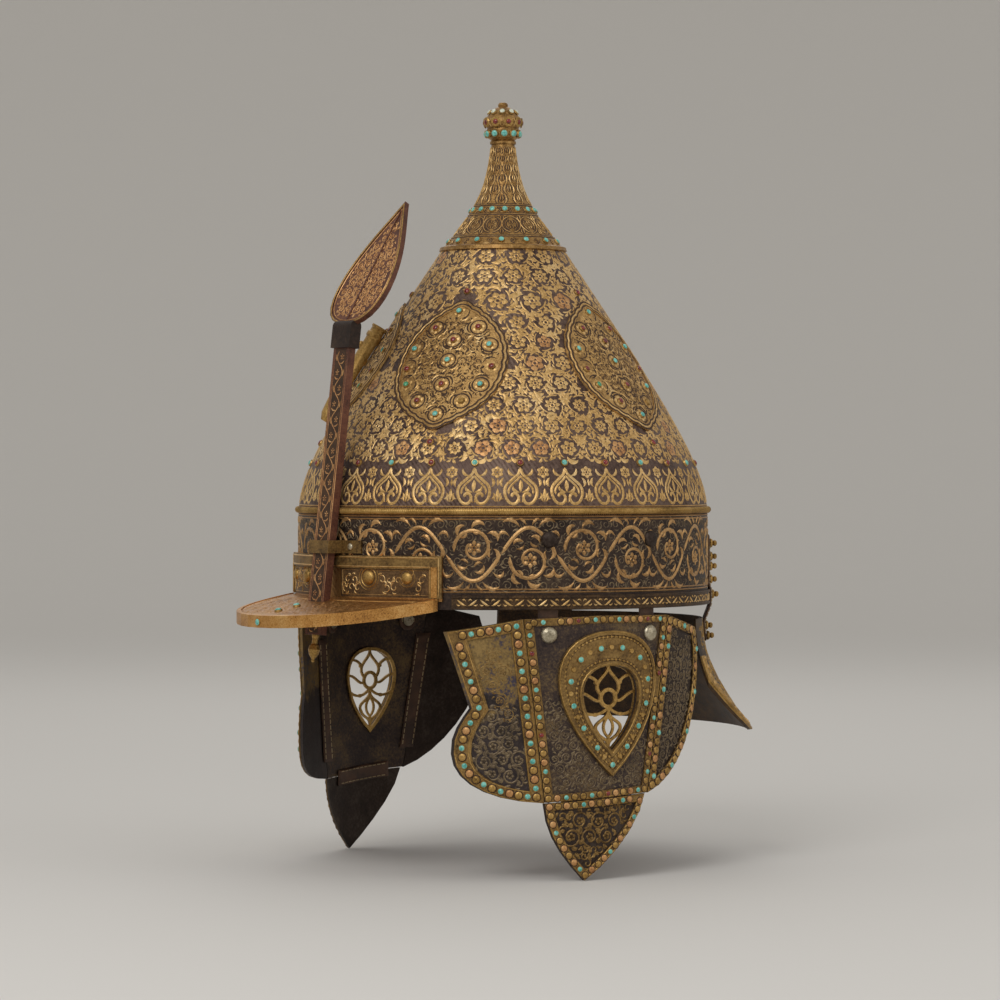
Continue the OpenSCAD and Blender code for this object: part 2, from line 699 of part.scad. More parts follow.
front_outline = concat([front_seam[0] - half_seam,
  [front_corner_y, cheek_top - 8.6]], front_lobe);
rear_outline = concat([rear_seam[0] + half_seam, rear_seam[1] + half_seam],
  [for (i = [1:8]) on([rear_seam[1] + half_seam, rear_seam[1] + [26, 8],
    [rear_y - 3, cheek_low + 40], [rear_y - 0.5, cheek_top - 34]], i / 8)],
  [[rear_y, cheek_top - 20], [rear_y - 3, cheek_top - 8.3]]);
lower_front = front_seam[1] + half_seam - half_drop;
lower_rear = rear_seam[1] - [2, 0] - half_drop;
tip = [lower_front[0] + 21, tip_z];
lower_outline = concat(skin([lower_front, lower_front + [1, -17], tip + [-12, 13], tip], 5),
  [for (i = [1:5]) on([tip, tip + [15, 10], lower_rear + [-3, -15], lower_rear], i / 5)]);

module side_prism(outline) {
  rotate([90, 0, 90]) translate([0, 0, 30]) linear_extrude(120) polygon(outline);
}
module side_shell(r0, r1, outline) {
  intersection() {
    arc_band(r0, r1, tip_z - 10, 0, -80, 80);
    side_prism(outline);
  }
}
module plate_border(outline, w = cheek_border_w) {
  color(dark_gilt) difference() {
    side_shell(cheek_r + seat, cheek_r + cheek_border_t, outline);
    side_prism(inset(outline, w));
  }
}
// A pear-shaped outline, pointed below: half width w, top and tip at heights a and b
function pear(w, a, b) = let(h = skin([[0, b], [1.3 * w, a + 0.55 * (b - a)], [1.32 * w, a], [0, a]], 14))
  moved(concat(h, [for (i = [13:-1:1]) [-h[i][0], h[i][1]]]), [ear_y, 0]);
window_outline = pear(ear_half_w, ear_top, ear_tip);

module cheek_centre() {
  color(steel) difference() {
    side_shell(plate_in, cheek_r, centre_outline);
    side_prism(window_outline);
    strap_rivet_holes(cheek_rivet_z, plate_in - 2, cheek_r + 2);
  }
}
module cheek_centre_border() {
  difference() {
    plate_border(centre_outline, cheek_border_w - 1);
    side_prism(pear(frame_half_w + 0.3, frame_top + 0.3, frame_tip - 0.5));
    for (a = strap_angles) at(a, cheek_rivet_z) shank_hole(cheek_r, cheek_r + 5, head_r + 0.2);
  }
}
module ear_frame() {
  lip = 0.6;
  lip_w = 2.2;
  outer = pear(frame_half_w, frame_top, frame_tip);
  color(gilt) {
    difference() {
      side_shell(cheek_r + seat, cheek_r + frame_t, outer);
      side_prism(window_outline);
    }
    difference() {
      side_shell(cheek_r + seat, cheek_r + frame_t + lip, outer);
      side_prism(inset(outer, lip_w));
    }
    difference() {
      side_shell(cheek_r + seat, cheek_r + frame_t + lip, inset(window_outline, -lip_w));
      side_prism(window_outline);
    }
  }
}
module ring(r, w) {
  difference() {
    circle(r + w / 2, $fn = 40);
    circle(r - w / 2, $fn = 40);
  }
}
module rib(p, w = rib_w, n = 10) { polygon(concat(skin(p, n, w / 2), flip(skin(p, n, -w / 2)))); }
// Openwork: a ring in the middle, a bud above and below it, arms that sweep out to the rim
module grille_pattern() {
  h = ear_top - ear_tip;
  w = ear_half_w;
  edge = 1.5;
  difference() {
    polygon(inset(window_outline, -edge));
    polygon(inset(window_outline, 0.4));
  }
  translate([ear_y, ear_top]) {
    translate([0, -0.385 * h]) ring(0.26 * w, 1.3 * rib_w);
    translate([-rib_w / 2, -0.05 * h]) square([rib_w, 0.05 * h + 0.5]);
    translate([-rib_w / 2, -0.62 * h]) square([rib_w, 0.15 * h]);
    translate([-rib_w / 2, -h - 0.5]) square([rib_w, 0.17 * h + 0.5]);
    for (s = [-1, 1]) {
      rib([[0, -0.03 * h], [s * 0.08 * w, -0.14 * h], [s * 0.66 * w, -0.2 * h], [s * 0.22 * w, -0.36 * h]]);
      rib([[s * 0.36 * w, -0.2 * h], [s * 0.5 * w, -0.16 * h], [s * 0.6 * w, -0.1 * h], [s * 0.98 * w, -0.13 * h]]);
      rib([[s * 0.24 * w, -0.4 * h], [s * 0.5 * w, -0.48 * h], [s * 0.72 * w, -0.24 * h], [s * 1.2 * w, -0.34 * h]]);
      rib([[0, -0.49 * h], [s * 0.3 * w, -0.6 * h], [s * 0.7 * w, -0.62 * h], [s * 1.12 * w, -0.46 * h]]);
      rib([[0, -0.54 * h], [s * 0.05 * w, -0.66 * h], [s * 0.66 * w, -0.66 * h], [s * 0.36 * w, -0.79 * h]]);
      rib([[s * 0.4 * w, -0.765 * h], [s * 0.3 * w, -0.86 * h], [s * 0.05 * w, -0.84 * h], [0, -0.93 * h]]);
      rib([[0, -0.6 * h], [s * 0.24 * w, -0.68 * h], [s * 0.2 * w, -0.78 * h], [0, -0.84 * h]], 0.8 * rib_w);
      for (q = [[0.42, -0.2], [0.45, -0.575]]) translate([s * q[0] * w, q[1] * h]) circle(0.75 * rib_w, $fn = 24);
    }
  }
}
module ear_grille() {
  color(gilt) intersection() {
    arc_band(plate_in - seat - grille_t, plate_in - seat, ear_tip - 10, ear_top + 10, -60, 60);
    rotate([90, 0, 90]) translate([0, 0, 30]) linear_extrude(120) intersection() {
      grille_pattern();
      polygon(inset(window_outline, -1.5));
    }
  }
}
module cheek_rivets() {
  color(silver) for (a = strap_angles) at(a, cheek_rivet_z)
    rivet(cheek_r + seat, washer_in, washer = washer_r);
}
module cheek_front() { color(steel) side_shell(plate_in, cheek_r, front_outline); }
module cheek_front_border() { plate_border(front_outline, cheek_border_w + 1); }
module cheek_rear() { color(steel) side_shell(plate_in, cheek_r, rear_outline); }
module cheek_rear_border() { plate_border(rear_outline); }
module cheek_lower() { color(steel) side_shell(plate_in, cheek_r, lower_outline); }
module cheek_lower_border() { plate_border(lower_outline, cheek_border_w - 1); }
module cheek_straps() {
  color(leather) for (a = strap_angles) difference() {
    intersection() {
      arc_band(strap_in, strap_out, strap_low, strap_top, a - 8, a + 8);
      at(a, strap_low) translate([strap_in - 10, -strap_w / 2, -1]) cube([20, strap_w, strap_top - strap_low + 2]);
    }
    strap_rivet_holes(strap_rivet_z, strap_in - 2, strap_out + 2);
    strap_rivet_holes(cheek_rivet_z, strap_in - 2, strap_out + 2);
  }
}
leather_w = 9;
function seam_at(s, k) = s[0] + k * (s[1] - s[0]);
function seam_strip(s, k0, k1) = let(h = [leather_w / 2, 0], a = seam_at(s, k0), b = seam_at(s, k1))
  [b - h, b + h, a + h, a - h];
module seam_leathers() {
  low = [0, leather_w / 2];
  a = lower_front + [9, 0];
  b = lower_rear - [9, 0];
  color(leather) for (o = [seam_strip(front_seam, 0.18, 0.9), seam_strip(rear_seam, 0.18, 0.88),
    [a - low, b - low, b + low, a + low]]) side_shell(plate_in - 1.3, plate_in - seat, o);
}

// Neck guard: a flared shell round the back, hung on two straps outside the band
guard_corner = 18;
module guard_prism(d) {
  w = guard_half_w - d;
  low = guard_low + d;
  r = guard_corner;
  translate([0, 250, 0]) rotate([90, 0, 0]) linear_extrude(250 - guard_y - d) union() {
    translate([-w + r, low]) square([2 * (w - r), 100]);
    translate([-w, low + r]) square([2 * w, 100]);
    for (s = [-1, 1]) translate([s * (w - r), low + r]) circle(r, $fn = 64);
  }
}
module guard_shell(d0, d1, t0 = 0) {
  n = 10 * (1 - t0);
  intersection() {
    lathe(concat(skin(guard_curve, n, -d1, t0), flip(skin(guard_curve, n, -d0, t0))));
    children();
  }
}
module neck_guard() {
  color(steel) difference() {
    guard_shell(-guard_t, 0) guard_prism(0);
    neck_knob_holes(guard_knob_zs, guard_top_r - 5, guard_top_r + 5);
  }
}
module neck_guard_border() {
  color(gilt) guard_shell(seat, guard_border_t, 0.3) difference() {
    guard_prism(0);
    guard_prism(guard_border_w);
  }
}
// The strap's inner line runs over the band, the rim's border and the guard
strap_line = concat([[bowl_r + seat, guard_strap_top], [bowl_r + seat, border_h + 2.5],
  [bowl_r + border_t + seat, border_h + 0.5], [bowl_r + border_t + seat, -0.6]],
  skin(guard_curve, 3, -0.1, 0.03, guard_strap_low_t));
strap_back = [for (q = strap_line) q + [strap_t, 0]];
module neck_straps() {
  a = guard_strap_half_a;
  color(leather) difference() {
    both_sides() rotate_extrude(angle = 2 * a, start = guard_strap_angle - a)
      polygon(concat(strap_line, flip(strap_back)));
    neck_knob_holes(concat(knob_zs, [border_knob_z], guard_knob_zs), bowl_r - 10, bowl_r + 10);
  }
}
// A double knob on a shank, along x
module strap_knob(r_out, r_in) {
  rotate([0, 90, 0]) translate([0, 0, r_out]) lathe([[0, r_in - r_out], [neck_shank_r, r_in - r_out],
    [neck_shank_r, 0], [2.5, 0], [2.7, 0.7], [2.3, 1.5], [1.3, 2], [1.7, 2.7], [1.5, 3.7], [0.8, 4.2],
    [0, 4.3]]);
}
module neck_strap_knobs() {
  out = bowl_r + strap_t + 2 * seat;
  color(gilt) both_sides() {
    for (z = knob_zs) at(guard_strap_angle, z) strap_knob(out, inner_r);
    at(guard_strap_angle, border_knob_z) strap_knob(out + border_t, inner_r);
  }
}
function guard_r(z) = let(k = [for (i = [0:40]) let(q = on(guard_curve, i / 100)) if (q[1] >= z) q[0]]) k[len(k) - 1];
module neck_guard_knobs() {
  color(gilt) both_sides() for (z = guard_knob_zs) at(guard_strap_angle, z)
    strap_knob(guard_r(z - 2.7) + strap_t + 3 * seat, guard_r(z) - guard_t);
}

bowl();
band();
crown_cap();
finial();
upper_moulding();
brim_border();
medallion(medal_front_a - 90);  // medallion_front_left
medallion(-medal_front_a - 90);  // medallion_front_right
medallion(medal_side_a - 90);  // medallion_side_left
medallion(-medal_side_a - 90);  // medallion_side_right
medallion(90);  // medallion_rear
visor();
visor_trim();
visor_rim();
visor_rivets();
nasal_bar();
nasal_leaf();
nasal_collar();
nasal_knob();
nasal_staple();
nasal_spring();
staple_rivets();
plume_socket();
band_rivets();
lining();
lining_band();
cheek_straps();  // cheek_straps_left
mirror([1, 0, 0]) cheek_straps();  // cheek_straps_right
cheek_centre();  // cheek_centre_left
mirror([1, 0, 0]) cheek_centre();  // cheek_centre_right
cheek_centre_border();  // cheek_centre_border_left
mirror([1, 0, 0]) cheek_centre_border();  // cheek_centre_border_right
ear_frame();  // ear_frame_left
mirror([1, 0, 0]) ear_frame();  // ear_frame_right
ear_grille();  // ear_grille_left
mirror([1, 0, 0]) ear_grille();  // ear_grille_right
cheek_rivets();  // cheek_rivets_left
mirror([1, 0, 0]) cheek_rivets();  // cheek_rivets_right
cheek_front();  // cheek_front_left
mirror([1, 0, 0]) cheek_front();  // cheek_front_right
cheek_front_border();  // cheek_front_border_left
mirror([1, 0, 0]) cheek_front_border();  // cheek_front_border_right
cheek_rear();  // cheek_rear_left
mirror([1, 0, 0]) cheek_rear();  // cheek_rear_right
cheek_rear_border();  // cheek_rear_border_left
mirror([1, 0, 0]) cheek_rear_border();  // cheek_rear_border_right
cheek_lower();  // cheek_lower_left
mirror([1, 0, 0]) cheek_lower();  // cheek_lower_right
cheek_lower_border();  // cheek_lower_border_left
mirror([1, 0, 0]) cheek_lower_border();  // cheek_lower_border_right
seam_leathers();  // seam_leathers_left
mirror([1, 0, 0]) seam_leathers();  // seam_leathers_right
neck_guard();
neck_guard_border();
neck_straps();
neck_strap_knobs();
neck_guard_knobs();
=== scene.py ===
import json
import math
import random
import bpy
import numpy as np
from mathutils import Vector
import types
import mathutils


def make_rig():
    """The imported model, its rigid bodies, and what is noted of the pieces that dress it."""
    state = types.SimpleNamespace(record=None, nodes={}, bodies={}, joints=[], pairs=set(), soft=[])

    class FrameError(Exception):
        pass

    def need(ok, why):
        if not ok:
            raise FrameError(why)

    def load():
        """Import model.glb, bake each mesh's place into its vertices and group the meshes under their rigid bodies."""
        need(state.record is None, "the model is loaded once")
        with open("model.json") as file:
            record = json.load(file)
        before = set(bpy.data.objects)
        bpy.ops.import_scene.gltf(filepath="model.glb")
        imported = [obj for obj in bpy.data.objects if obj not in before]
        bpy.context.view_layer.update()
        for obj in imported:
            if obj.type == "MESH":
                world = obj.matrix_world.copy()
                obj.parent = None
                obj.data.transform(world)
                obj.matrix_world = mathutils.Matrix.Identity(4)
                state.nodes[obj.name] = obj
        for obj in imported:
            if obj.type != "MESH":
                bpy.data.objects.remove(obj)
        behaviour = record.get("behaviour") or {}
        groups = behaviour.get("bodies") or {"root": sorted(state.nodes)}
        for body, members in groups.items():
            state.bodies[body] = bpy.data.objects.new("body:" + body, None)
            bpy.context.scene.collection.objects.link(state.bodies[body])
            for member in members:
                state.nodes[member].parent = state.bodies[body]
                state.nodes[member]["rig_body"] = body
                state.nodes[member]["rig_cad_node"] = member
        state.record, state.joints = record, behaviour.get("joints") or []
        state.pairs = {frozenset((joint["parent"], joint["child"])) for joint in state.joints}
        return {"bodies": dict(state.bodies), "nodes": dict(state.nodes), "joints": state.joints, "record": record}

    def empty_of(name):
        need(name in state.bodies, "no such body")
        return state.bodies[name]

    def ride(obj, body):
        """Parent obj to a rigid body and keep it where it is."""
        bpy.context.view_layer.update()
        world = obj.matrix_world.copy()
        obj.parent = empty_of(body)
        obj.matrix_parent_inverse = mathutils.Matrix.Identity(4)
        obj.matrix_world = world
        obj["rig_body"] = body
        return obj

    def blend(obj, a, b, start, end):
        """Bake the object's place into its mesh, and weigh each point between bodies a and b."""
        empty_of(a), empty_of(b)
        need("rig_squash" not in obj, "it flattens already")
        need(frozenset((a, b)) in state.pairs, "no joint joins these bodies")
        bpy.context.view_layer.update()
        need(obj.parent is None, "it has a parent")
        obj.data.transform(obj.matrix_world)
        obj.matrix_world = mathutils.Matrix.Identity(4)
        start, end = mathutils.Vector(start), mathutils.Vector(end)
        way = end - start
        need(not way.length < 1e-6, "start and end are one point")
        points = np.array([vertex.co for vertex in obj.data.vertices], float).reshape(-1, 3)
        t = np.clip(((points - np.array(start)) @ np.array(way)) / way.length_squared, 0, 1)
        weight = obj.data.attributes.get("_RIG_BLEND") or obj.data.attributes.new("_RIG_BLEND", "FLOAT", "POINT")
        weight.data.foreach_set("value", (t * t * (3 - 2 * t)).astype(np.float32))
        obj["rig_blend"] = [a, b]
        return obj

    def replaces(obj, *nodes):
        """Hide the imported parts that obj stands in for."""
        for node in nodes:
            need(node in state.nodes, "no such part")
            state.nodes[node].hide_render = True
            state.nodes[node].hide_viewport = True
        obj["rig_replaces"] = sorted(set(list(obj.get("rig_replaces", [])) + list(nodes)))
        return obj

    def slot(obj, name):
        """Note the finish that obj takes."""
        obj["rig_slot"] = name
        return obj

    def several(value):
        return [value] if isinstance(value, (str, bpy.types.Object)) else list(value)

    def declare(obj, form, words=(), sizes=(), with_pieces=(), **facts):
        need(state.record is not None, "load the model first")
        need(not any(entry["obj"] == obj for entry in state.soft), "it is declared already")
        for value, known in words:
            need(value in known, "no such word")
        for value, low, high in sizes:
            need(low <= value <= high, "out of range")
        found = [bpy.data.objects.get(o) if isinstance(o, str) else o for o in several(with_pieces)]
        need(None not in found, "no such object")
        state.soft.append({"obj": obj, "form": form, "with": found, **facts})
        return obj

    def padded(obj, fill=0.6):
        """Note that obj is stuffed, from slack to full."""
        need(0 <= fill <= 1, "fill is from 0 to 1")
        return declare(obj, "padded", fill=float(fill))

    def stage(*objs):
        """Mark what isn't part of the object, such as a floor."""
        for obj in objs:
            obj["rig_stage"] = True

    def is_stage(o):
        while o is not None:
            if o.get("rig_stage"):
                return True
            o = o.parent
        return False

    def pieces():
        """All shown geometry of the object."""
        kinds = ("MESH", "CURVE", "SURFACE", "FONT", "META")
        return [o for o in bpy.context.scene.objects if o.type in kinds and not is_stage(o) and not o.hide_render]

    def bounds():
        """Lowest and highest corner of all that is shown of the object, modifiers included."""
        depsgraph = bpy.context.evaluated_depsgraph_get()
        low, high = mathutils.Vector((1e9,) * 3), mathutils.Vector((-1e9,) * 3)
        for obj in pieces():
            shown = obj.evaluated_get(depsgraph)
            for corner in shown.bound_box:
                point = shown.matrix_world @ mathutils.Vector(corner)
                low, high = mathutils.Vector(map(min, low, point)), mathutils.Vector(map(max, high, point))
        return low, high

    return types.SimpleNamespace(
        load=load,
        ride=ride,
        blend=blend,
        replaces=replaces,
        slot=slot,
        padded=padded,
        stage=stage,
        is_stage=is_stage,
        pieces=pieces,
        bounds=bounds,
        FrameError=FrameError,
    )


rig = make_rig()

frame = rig.load()
nodes = frame["nodes"]
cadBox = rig.bounds()
print("frame loaded:", len(nodes), "nodes")

# camera, lamps and floor, in metres; bearings are degrees from the front, towards the wearer's left

view = {"bearing": 53.0, "distance": 2.2, "cameraHeight": 0.075, "aimHeight": 0.0586, "aimAside": -0.00171,
        "lens": 139.0, "sensor": 36.0}
# a lamp is its bearing past the camera's, height, distance, power and size
studio = {"worldColour": "#F1EFEC", "worldStrength": 0.62, "backdropColour": "#E4E2DE", "backdropStrength": 1.0,
          "lamps": {"keyLamp": (-22, 1.25, 1.5, 11.0, 0.9), "fillLamp": (60, 0.6, 1.8, 3.0, 1.2),
                    "backLamp": (180, 1.3, 1.6, 3.0, 1.2)}, "lampAim": 0.08,
          "floorColour": "#D9D6D1", "floorHeight": -0.1472, "floorRadius": 3.2, "coveRadius": 1.2}


def hexColour(code):
    parts = [int(code[i:i + 2], 16) / 255 for i in (1, 3, 5)]
    return [c / 12.92 if c <= 0.04045 else ((c + 0.055) / 1.055) ** 2.4 for c in parts] + [1.0]


def setInputs(node, inputs):
    # a socket given as value makes a link
    for name, value in inputs.items():
        if isinstance(value, bpy.types.NodeSocket):
            node.id_data.links.new(value, node.inputs[name])
        else:
            node.inputs[name].default_value = value


def addNode(tree, kind, inputs=None, marks=(), **settings):
    # marks are a colour ramp's positions and colours: both ends, then any between
    node = tree.nodes.new(kind)
    for name, value in settings.items():
        setattr(node, name, value)
    setInputs(node, inputs or {})
    for k, (spot, code) in enumerate(marks):
        stops = node.color_ramp.elements
        stop = stops[k] if k < 2 else stops.new(spot)
        stop.position, stop.color = spot, hexColour(code)
    return node


def newObject(name, data):
    thing = bpy.data.objects.new(name, data)
    bpy.context.collection.objects.link(thing)
    return thing


def newMaterial(name):
    material = bpy.data.materials.new(name)
    material.use_nodes = True
    return material, material.node_tree, material.node_tree.nodes["Principled BSDF"]


def standFacing(thing, spot, aim):
    thing.location = spot
    thing.rotation_euler = (aim - spot).to_track_quat("-Z", "Y").to_euler()


def around(count, offset=0.0):
    # angles at equal steps round a circle
    return [2 * math.pi * (k + offset) / count for k in range(count)]


def makeCamera():
    a = math.radians(view["bearing"])
    spot = Vector((math.sin(a), -math.cos(a), 0)) * view["distance"]
    spot.z = view["cameraHeight"]
    aim = Vector((math.cos(a), math.sin(a), 0)) * view["aimAside"]
    aim.z = view["aimHeight"]
    data = bpy.data.cameras.new("photoCamera")
    data.lens, data.sensor_width = view["lens"], view["sensor"]
    data.clip_start, data.clip_end = 0.05, 40
    camera = newObject("photoCamera", data)
    standFacing(camera, spot, aim)
    bpy.context.scene.camera = camera


def makeLight():
    bpy.context.scene.view_settings.view_transform = "Standard"
    world = bpy.data.worlds.new("paleStudio")
    bpy.context.scene.world = world
    world.use_nodes = True
    tree = world.node_tree
    tree.nodes.clear()
    lit, shown = [addNode(tree, "ShaderNodeBackground", {"Color": hexColour(studio[f"{key}Colour"]),
                                                         "Strength": studio[f"{key}Strength"]})
                  for key in ("world", "backdrop")]
    seen = addNode(tree, "ShaderNodeLightPath")
    mix = addNode(tree, "ShaderNodeMixShader", {0: seen.outputs["Is Camera Ray"], 1: lit.outputs[0],
                                                2: shown.outputs[0]})
    addNode(tree, "ShaderNodeOutputWorld", {"Surface": mix.outputs[0]})
    for name, (past, height, distance, power, size) in studio["lamps"].items():
        a = math.radians(view["bearing"] + past)
        data = bpy.data.lights.new(name, "AREA")
        data.shape, data.size, data.energy = "DISK", size, power
        spot = Vector((math.sin(a) * distance, -math.cos(a) * distance, height))
        standFacing(newObject(name, data), spot, Vector((0, 0, studio["lampAim"])))


def makeFloor():
    # one round sheet: flat under the object, turned up far behind it
    n, r, cove, z = 96, studio["floorRadius"], studio["coveRadius"], studio["floorHeight"]
    profile = [(0.4, 0), (1.2, 0), (r, 0)]
    profile += [(r + cove * math.sin(t * math.pi / 20), cove - cove * math.cos(t * math.pi / 20))
                for t in range(1, 11)]
    points, faces = [(0, 0, z)], [(0, 1 + k, 1 + (k + 1) % n) for k in range(n)]
    for out, up in profile:
        points += [(out * math.cos(a), out * math.sin(a), z + up) for a in around(n)]
    for a in range(1, 1 + n * (len(profile) - 1), n):
        faces += [(a + k, a + n + k, a + n + (k + 1) % n, a + (k + 1) % n) for k in range(n)]
    mesh = bpy.data.meshes.new("floor")
    mesh.from_pydata(points, [], faces)
    mesh.polygons.foreach_set("use_smooth", [True] * len(faces))
    material, _, shader = newMaterial("paleFloorPaint")
    setInputs(shader, {"Roughness": 0.9, "Base Color": hexColour(studio["floorColour"])})
    mesh.materials.append(material)
    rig.stage(newObject("floor", mesh))


makeCamera()
makeLight()
makeFloor()
print("camera, lamps and floor are in place")

# materials; patch, grain, hatch, crease and cloud are sizes in millimetres


def wornMetal(name, tones, metallic, roughness, patch, grain, lift, hatch=0.0, above=None):
    # tones are dark, middle and light
    material, tree, shader = newMaterial(name)
    place = addNode(tree, "ShaderNodeTexCoord").outputs["Object"]
    broad = addNode(tree, "ShaderNodeTexNoise", {"Vector": place, "Scale": 1000 / patch, "Detail": 4.0,
                                                 "Roughness": 0.6}).outputs["Fac"]
    fine = addNode(tree, "ShaderNodeTexNoise", {"Vector": place, "Scale": 1000 / grain, "Detail": 3.0,
                                                "Roughness": 0.65}).outputs["Fac"]
    both = addNode(tree, "ShaderNodeMath", {0: broad, 1: fine}, operation="ADD")
    share = addNode(tree, "ShaderNodeMath", {0: both.outputs[0], 1: 0.5}, operation="MULTIPLY").outputs[0]
    colour = addNode(tree, "ShaderNodeValToRGB", {"Fac": share}, (
        (0.36, tones[0]), (0.64, tones[2]), (0.5, tones[1]))).outputs["Color"]
    if above:
        # other tones above a height, with a worn edge between them
        (dark, middle, bright), start = above
        other = addNode(tree, "ShaderNodeValToRGB", {"Fac": share}, ((0.42, dark), (0.62, bright), (0.5, middle)))
        height = addNode(tree, "ShaderNodeSeparateXYZ", {0: place}).outputs["Z"]
        ragged = addNode(tree, "ShaderNodeMath", {0: broad, 1: 0.05, 2: height}, operation="MULTIPLY_ADD")
        upper = addNode(tree, "ShaderNodeMapRange", {"Value": ragged.outputs[0], "From Min": start / 1000 + 0.022,
                                                     "From Max": start / 1000 + 0.028})
        colour = addNode(tree, "ShaderNodeMix", {"Factor": upper.outputs["Result"], 6: colour,
                                                 7: other.outputs["Color"]}, data_type="RGBA").outputs[2]
    rough = addNode(tree, "ShaderNodeMapRange", {"Value": fine, "From Min": 0.3, "From Max": 0.7,
                                                 "To Min": roughness - 0.08, "To Max": roughness + 0.12})
    setInputs(shader, {"Base Color": colour, "Metallic": metallic, "Roughness": rough.outputs["Result"]})
    if hatch:
        wave = addNode(tree, "ShaderNodeTexWave", {"Vector": place, "Scale": 1000 / hatch / 6.28, "Distortion": 1.5,
                                                   "Detail": 1.0}, bands_direction="DIAGONAL")
        fine = addNode(tree, "ShaderNodeMath", {0: wave.outputs["Fac"], 1: fine}, operation="ADD").outputs[0]
    bump = addNode(tree, "ShaderNodeBump", {"Height": fine, "Strength": lift, "Distance": 0.0003})
    setInputs(shader, {"Normal": bump.outputs["Normal"]})
    return material


def cloudyMaterial(name, tones, cloud, detail, farMark, **finish):
    # two tones in soft clouds; finish is any further input of the shader
    material, tree, shader = newMaterial(name)
    place = addNode(tree, "ShaderNodeTexCoord").outputs["Object"]
    clouds = addNode(tree, "ShaderNodeTexNoise", {"Vector": place, "Scale": 1000 / cloud, "Detail": detail})
    ramp = addNode(tree, "ShaderNodeValToRGB", {"Fac": clouds.outputs["Fac"]},
                   ((0.35, tones[0]), (farMark, tones[1])))
    setInputs(shader, {"Base Color": ramp.outputs["Color"], **finish})
    return material, tree, shader, place, clouds.outputs["Fac"]


def cutStone(name, tones, roughness):
    material, tree, shader, _, clouds = cloudyMaterial(name, tones, 1.6, 3.0, 0.62, Roughness=roughness, IOR=1.61)
    bump = addNode(tree, "ShaderNodeBump", {"Height": clouds, "Strength": 0.25, "Distance": 0.0003})
    setInputs(shader, {"Normal": bump.outputs["Normal"]})
    return material


def makeLeather(name, tones, crease):
    material, tree, shader, place, _ = cloudyMaterial(name, tones, 9, 4.0, 0.65, Roughness=0.55)
    pores = addNode(tree, "ShaderNodeTexVoronoi", {"Vector": place, "Scale": 1000 / crease},
                    feature="DISTANCE_TO_EDGE")
    bump = addNode(tree, "ShaderNodeBump", {"Height": pores.outputs["Distance"], "Strength": 0.5, "Distance": 0.0004})
    setInputs(shader, {"Normal": bump.outputs["Normal"]})
    return material


def makeCotton(name, tones, thread):
    material, tree, shader, _, _ = cloudyMaterial(name, tones, 30, 4.0, 0.65, Roughness=0.92,
                                                  **{"Sheen Weight": 0.25})
    cloth = addNode(tree, "ShaderNodeUVMap", uv_map="cloth").outputs["UV"]
    weft, warp = [addNode(tree, "ShaderNodeTexWave", {"Vector": cloth, "Scale": 1000 / thread / 6.28,
                                                      "Distortion": 0.4}, bands_direction=way).outputs["Fac"]
                  for way in ("X", "Y")]
    weave = addNode(tree, "ShaderNodeMath", {0: weft, 1: warp}, operation="MULTIPLY")
    bump = addNode(tree, "ShaderNodeBump", {"Height": weave.outputs[0], "Strength": 0.6, "Distance": 0.0004})
    setInputs(shader, {"Normal": bump.outputs["Normal"]})
    return material


# russet steel: browned with a purple cast, blue-grey where the brown has rubbed off
russetSteel = wornMetal("russetSteel", ("#392820", "#5F4A40", "#786456"), 0.6, 0.5, 26, 1.6, 0.5, 0.9)
# blackened steel: the band's nearly black ground
blackenedSteel = wornMetal("blackenedSteel", ("#231A15", "#392C25", "#524234"), 0.6, 0.5, 18, 1.4, 0.4)
# grey steel: bare plates of the cheek pieces, dull and pitted
greySteel = wornMetal("greySteel", ("#251D18", "#382C25", "#4F443C"), 0.7, 0.5, 14, 1.5, 0.6)
# beaten gold leaf on hatched steel: soft yellow, thin and brown in places
goldLeaf = wornMetal("goldLeaf", ("#A27D47", "#D3AB6C", "#E8C993"), 0.7, 0.44, 22, 1.2, 0.35)
# gold overlay of the band's strokes, more orange than the leaf
orangeGold = wornMetal("orangeGold", ("#86643C", "#B88F5C", "#CFA873"), 0.7, 0.42, 20, 1.2, 0.35)
# gilt copper: cast or chased, bright on the raised parts
giltCopper = wornMetal("giltCopper", ("#735A30", "#AE894C", "#CBA767"), 0.8, 0.4, 12, 1.1, 0.4)
# darkened gilding of borders and frames: brown in the hollows
darkGilt = wornMetal("darkGilt", ("#503C24", "#86693C", "#A3844F"), 0.7, 0.48, 9, 1.2, 0.6)
# front plate of the cheek: dark steel in the lobe, with rubbed gilding left above it
rubbedPlate = wornMetal("rubbedPlate", ("#2C2625", "#3D3432", "#4C4340"), 0.65, 0.5, 12, 1.4, 0.5,
                        above=(("#4A4450", "#80683F", "#9C8150"), -52.0))
# ochre gilding of the medallions, dulled by handling
ochreGilt = wornMetal("ochreGilt", ("#775834", "#AC8751", "#CEA86A"), 0.7, 0.5, 8, 1.0, 0.5)
# browned iron under gold lines: dark and warm
brownGround = wornMetal("brownGround", ("#261B14", "#43311F", "#62492C"), 0.55, 0.5, 8, 1.0, 0.5)
# polished fire gilding of the peak's turned-down rim: orange and bright; on the two ends of the visor trim the same
# bright gilt is a painted highlight, where light falls on them
rimGilt = wornMetal("rimGilt", ("#96683A", "#C9924F", "#E2B472"), 0.9, 0.32, 14, 0.8, 0.3)
# orange-brown gilding of the peak, with the long strokes of its burnishing
peakGilt = wornMetal("peakGilt", ("#94683E", "#B3834C", "#C99C60"), 0.9, 0.34, 30, 0.7, 0.2, 1.0)
# chased gilding of the crown cap and the finial, brown between the strokes
crownGilt = wornMetal("crownGilt", ("#684A26", "#9A7542", "#BE975C"), 0.75, 0.42, 5, 1.0, 0.5)
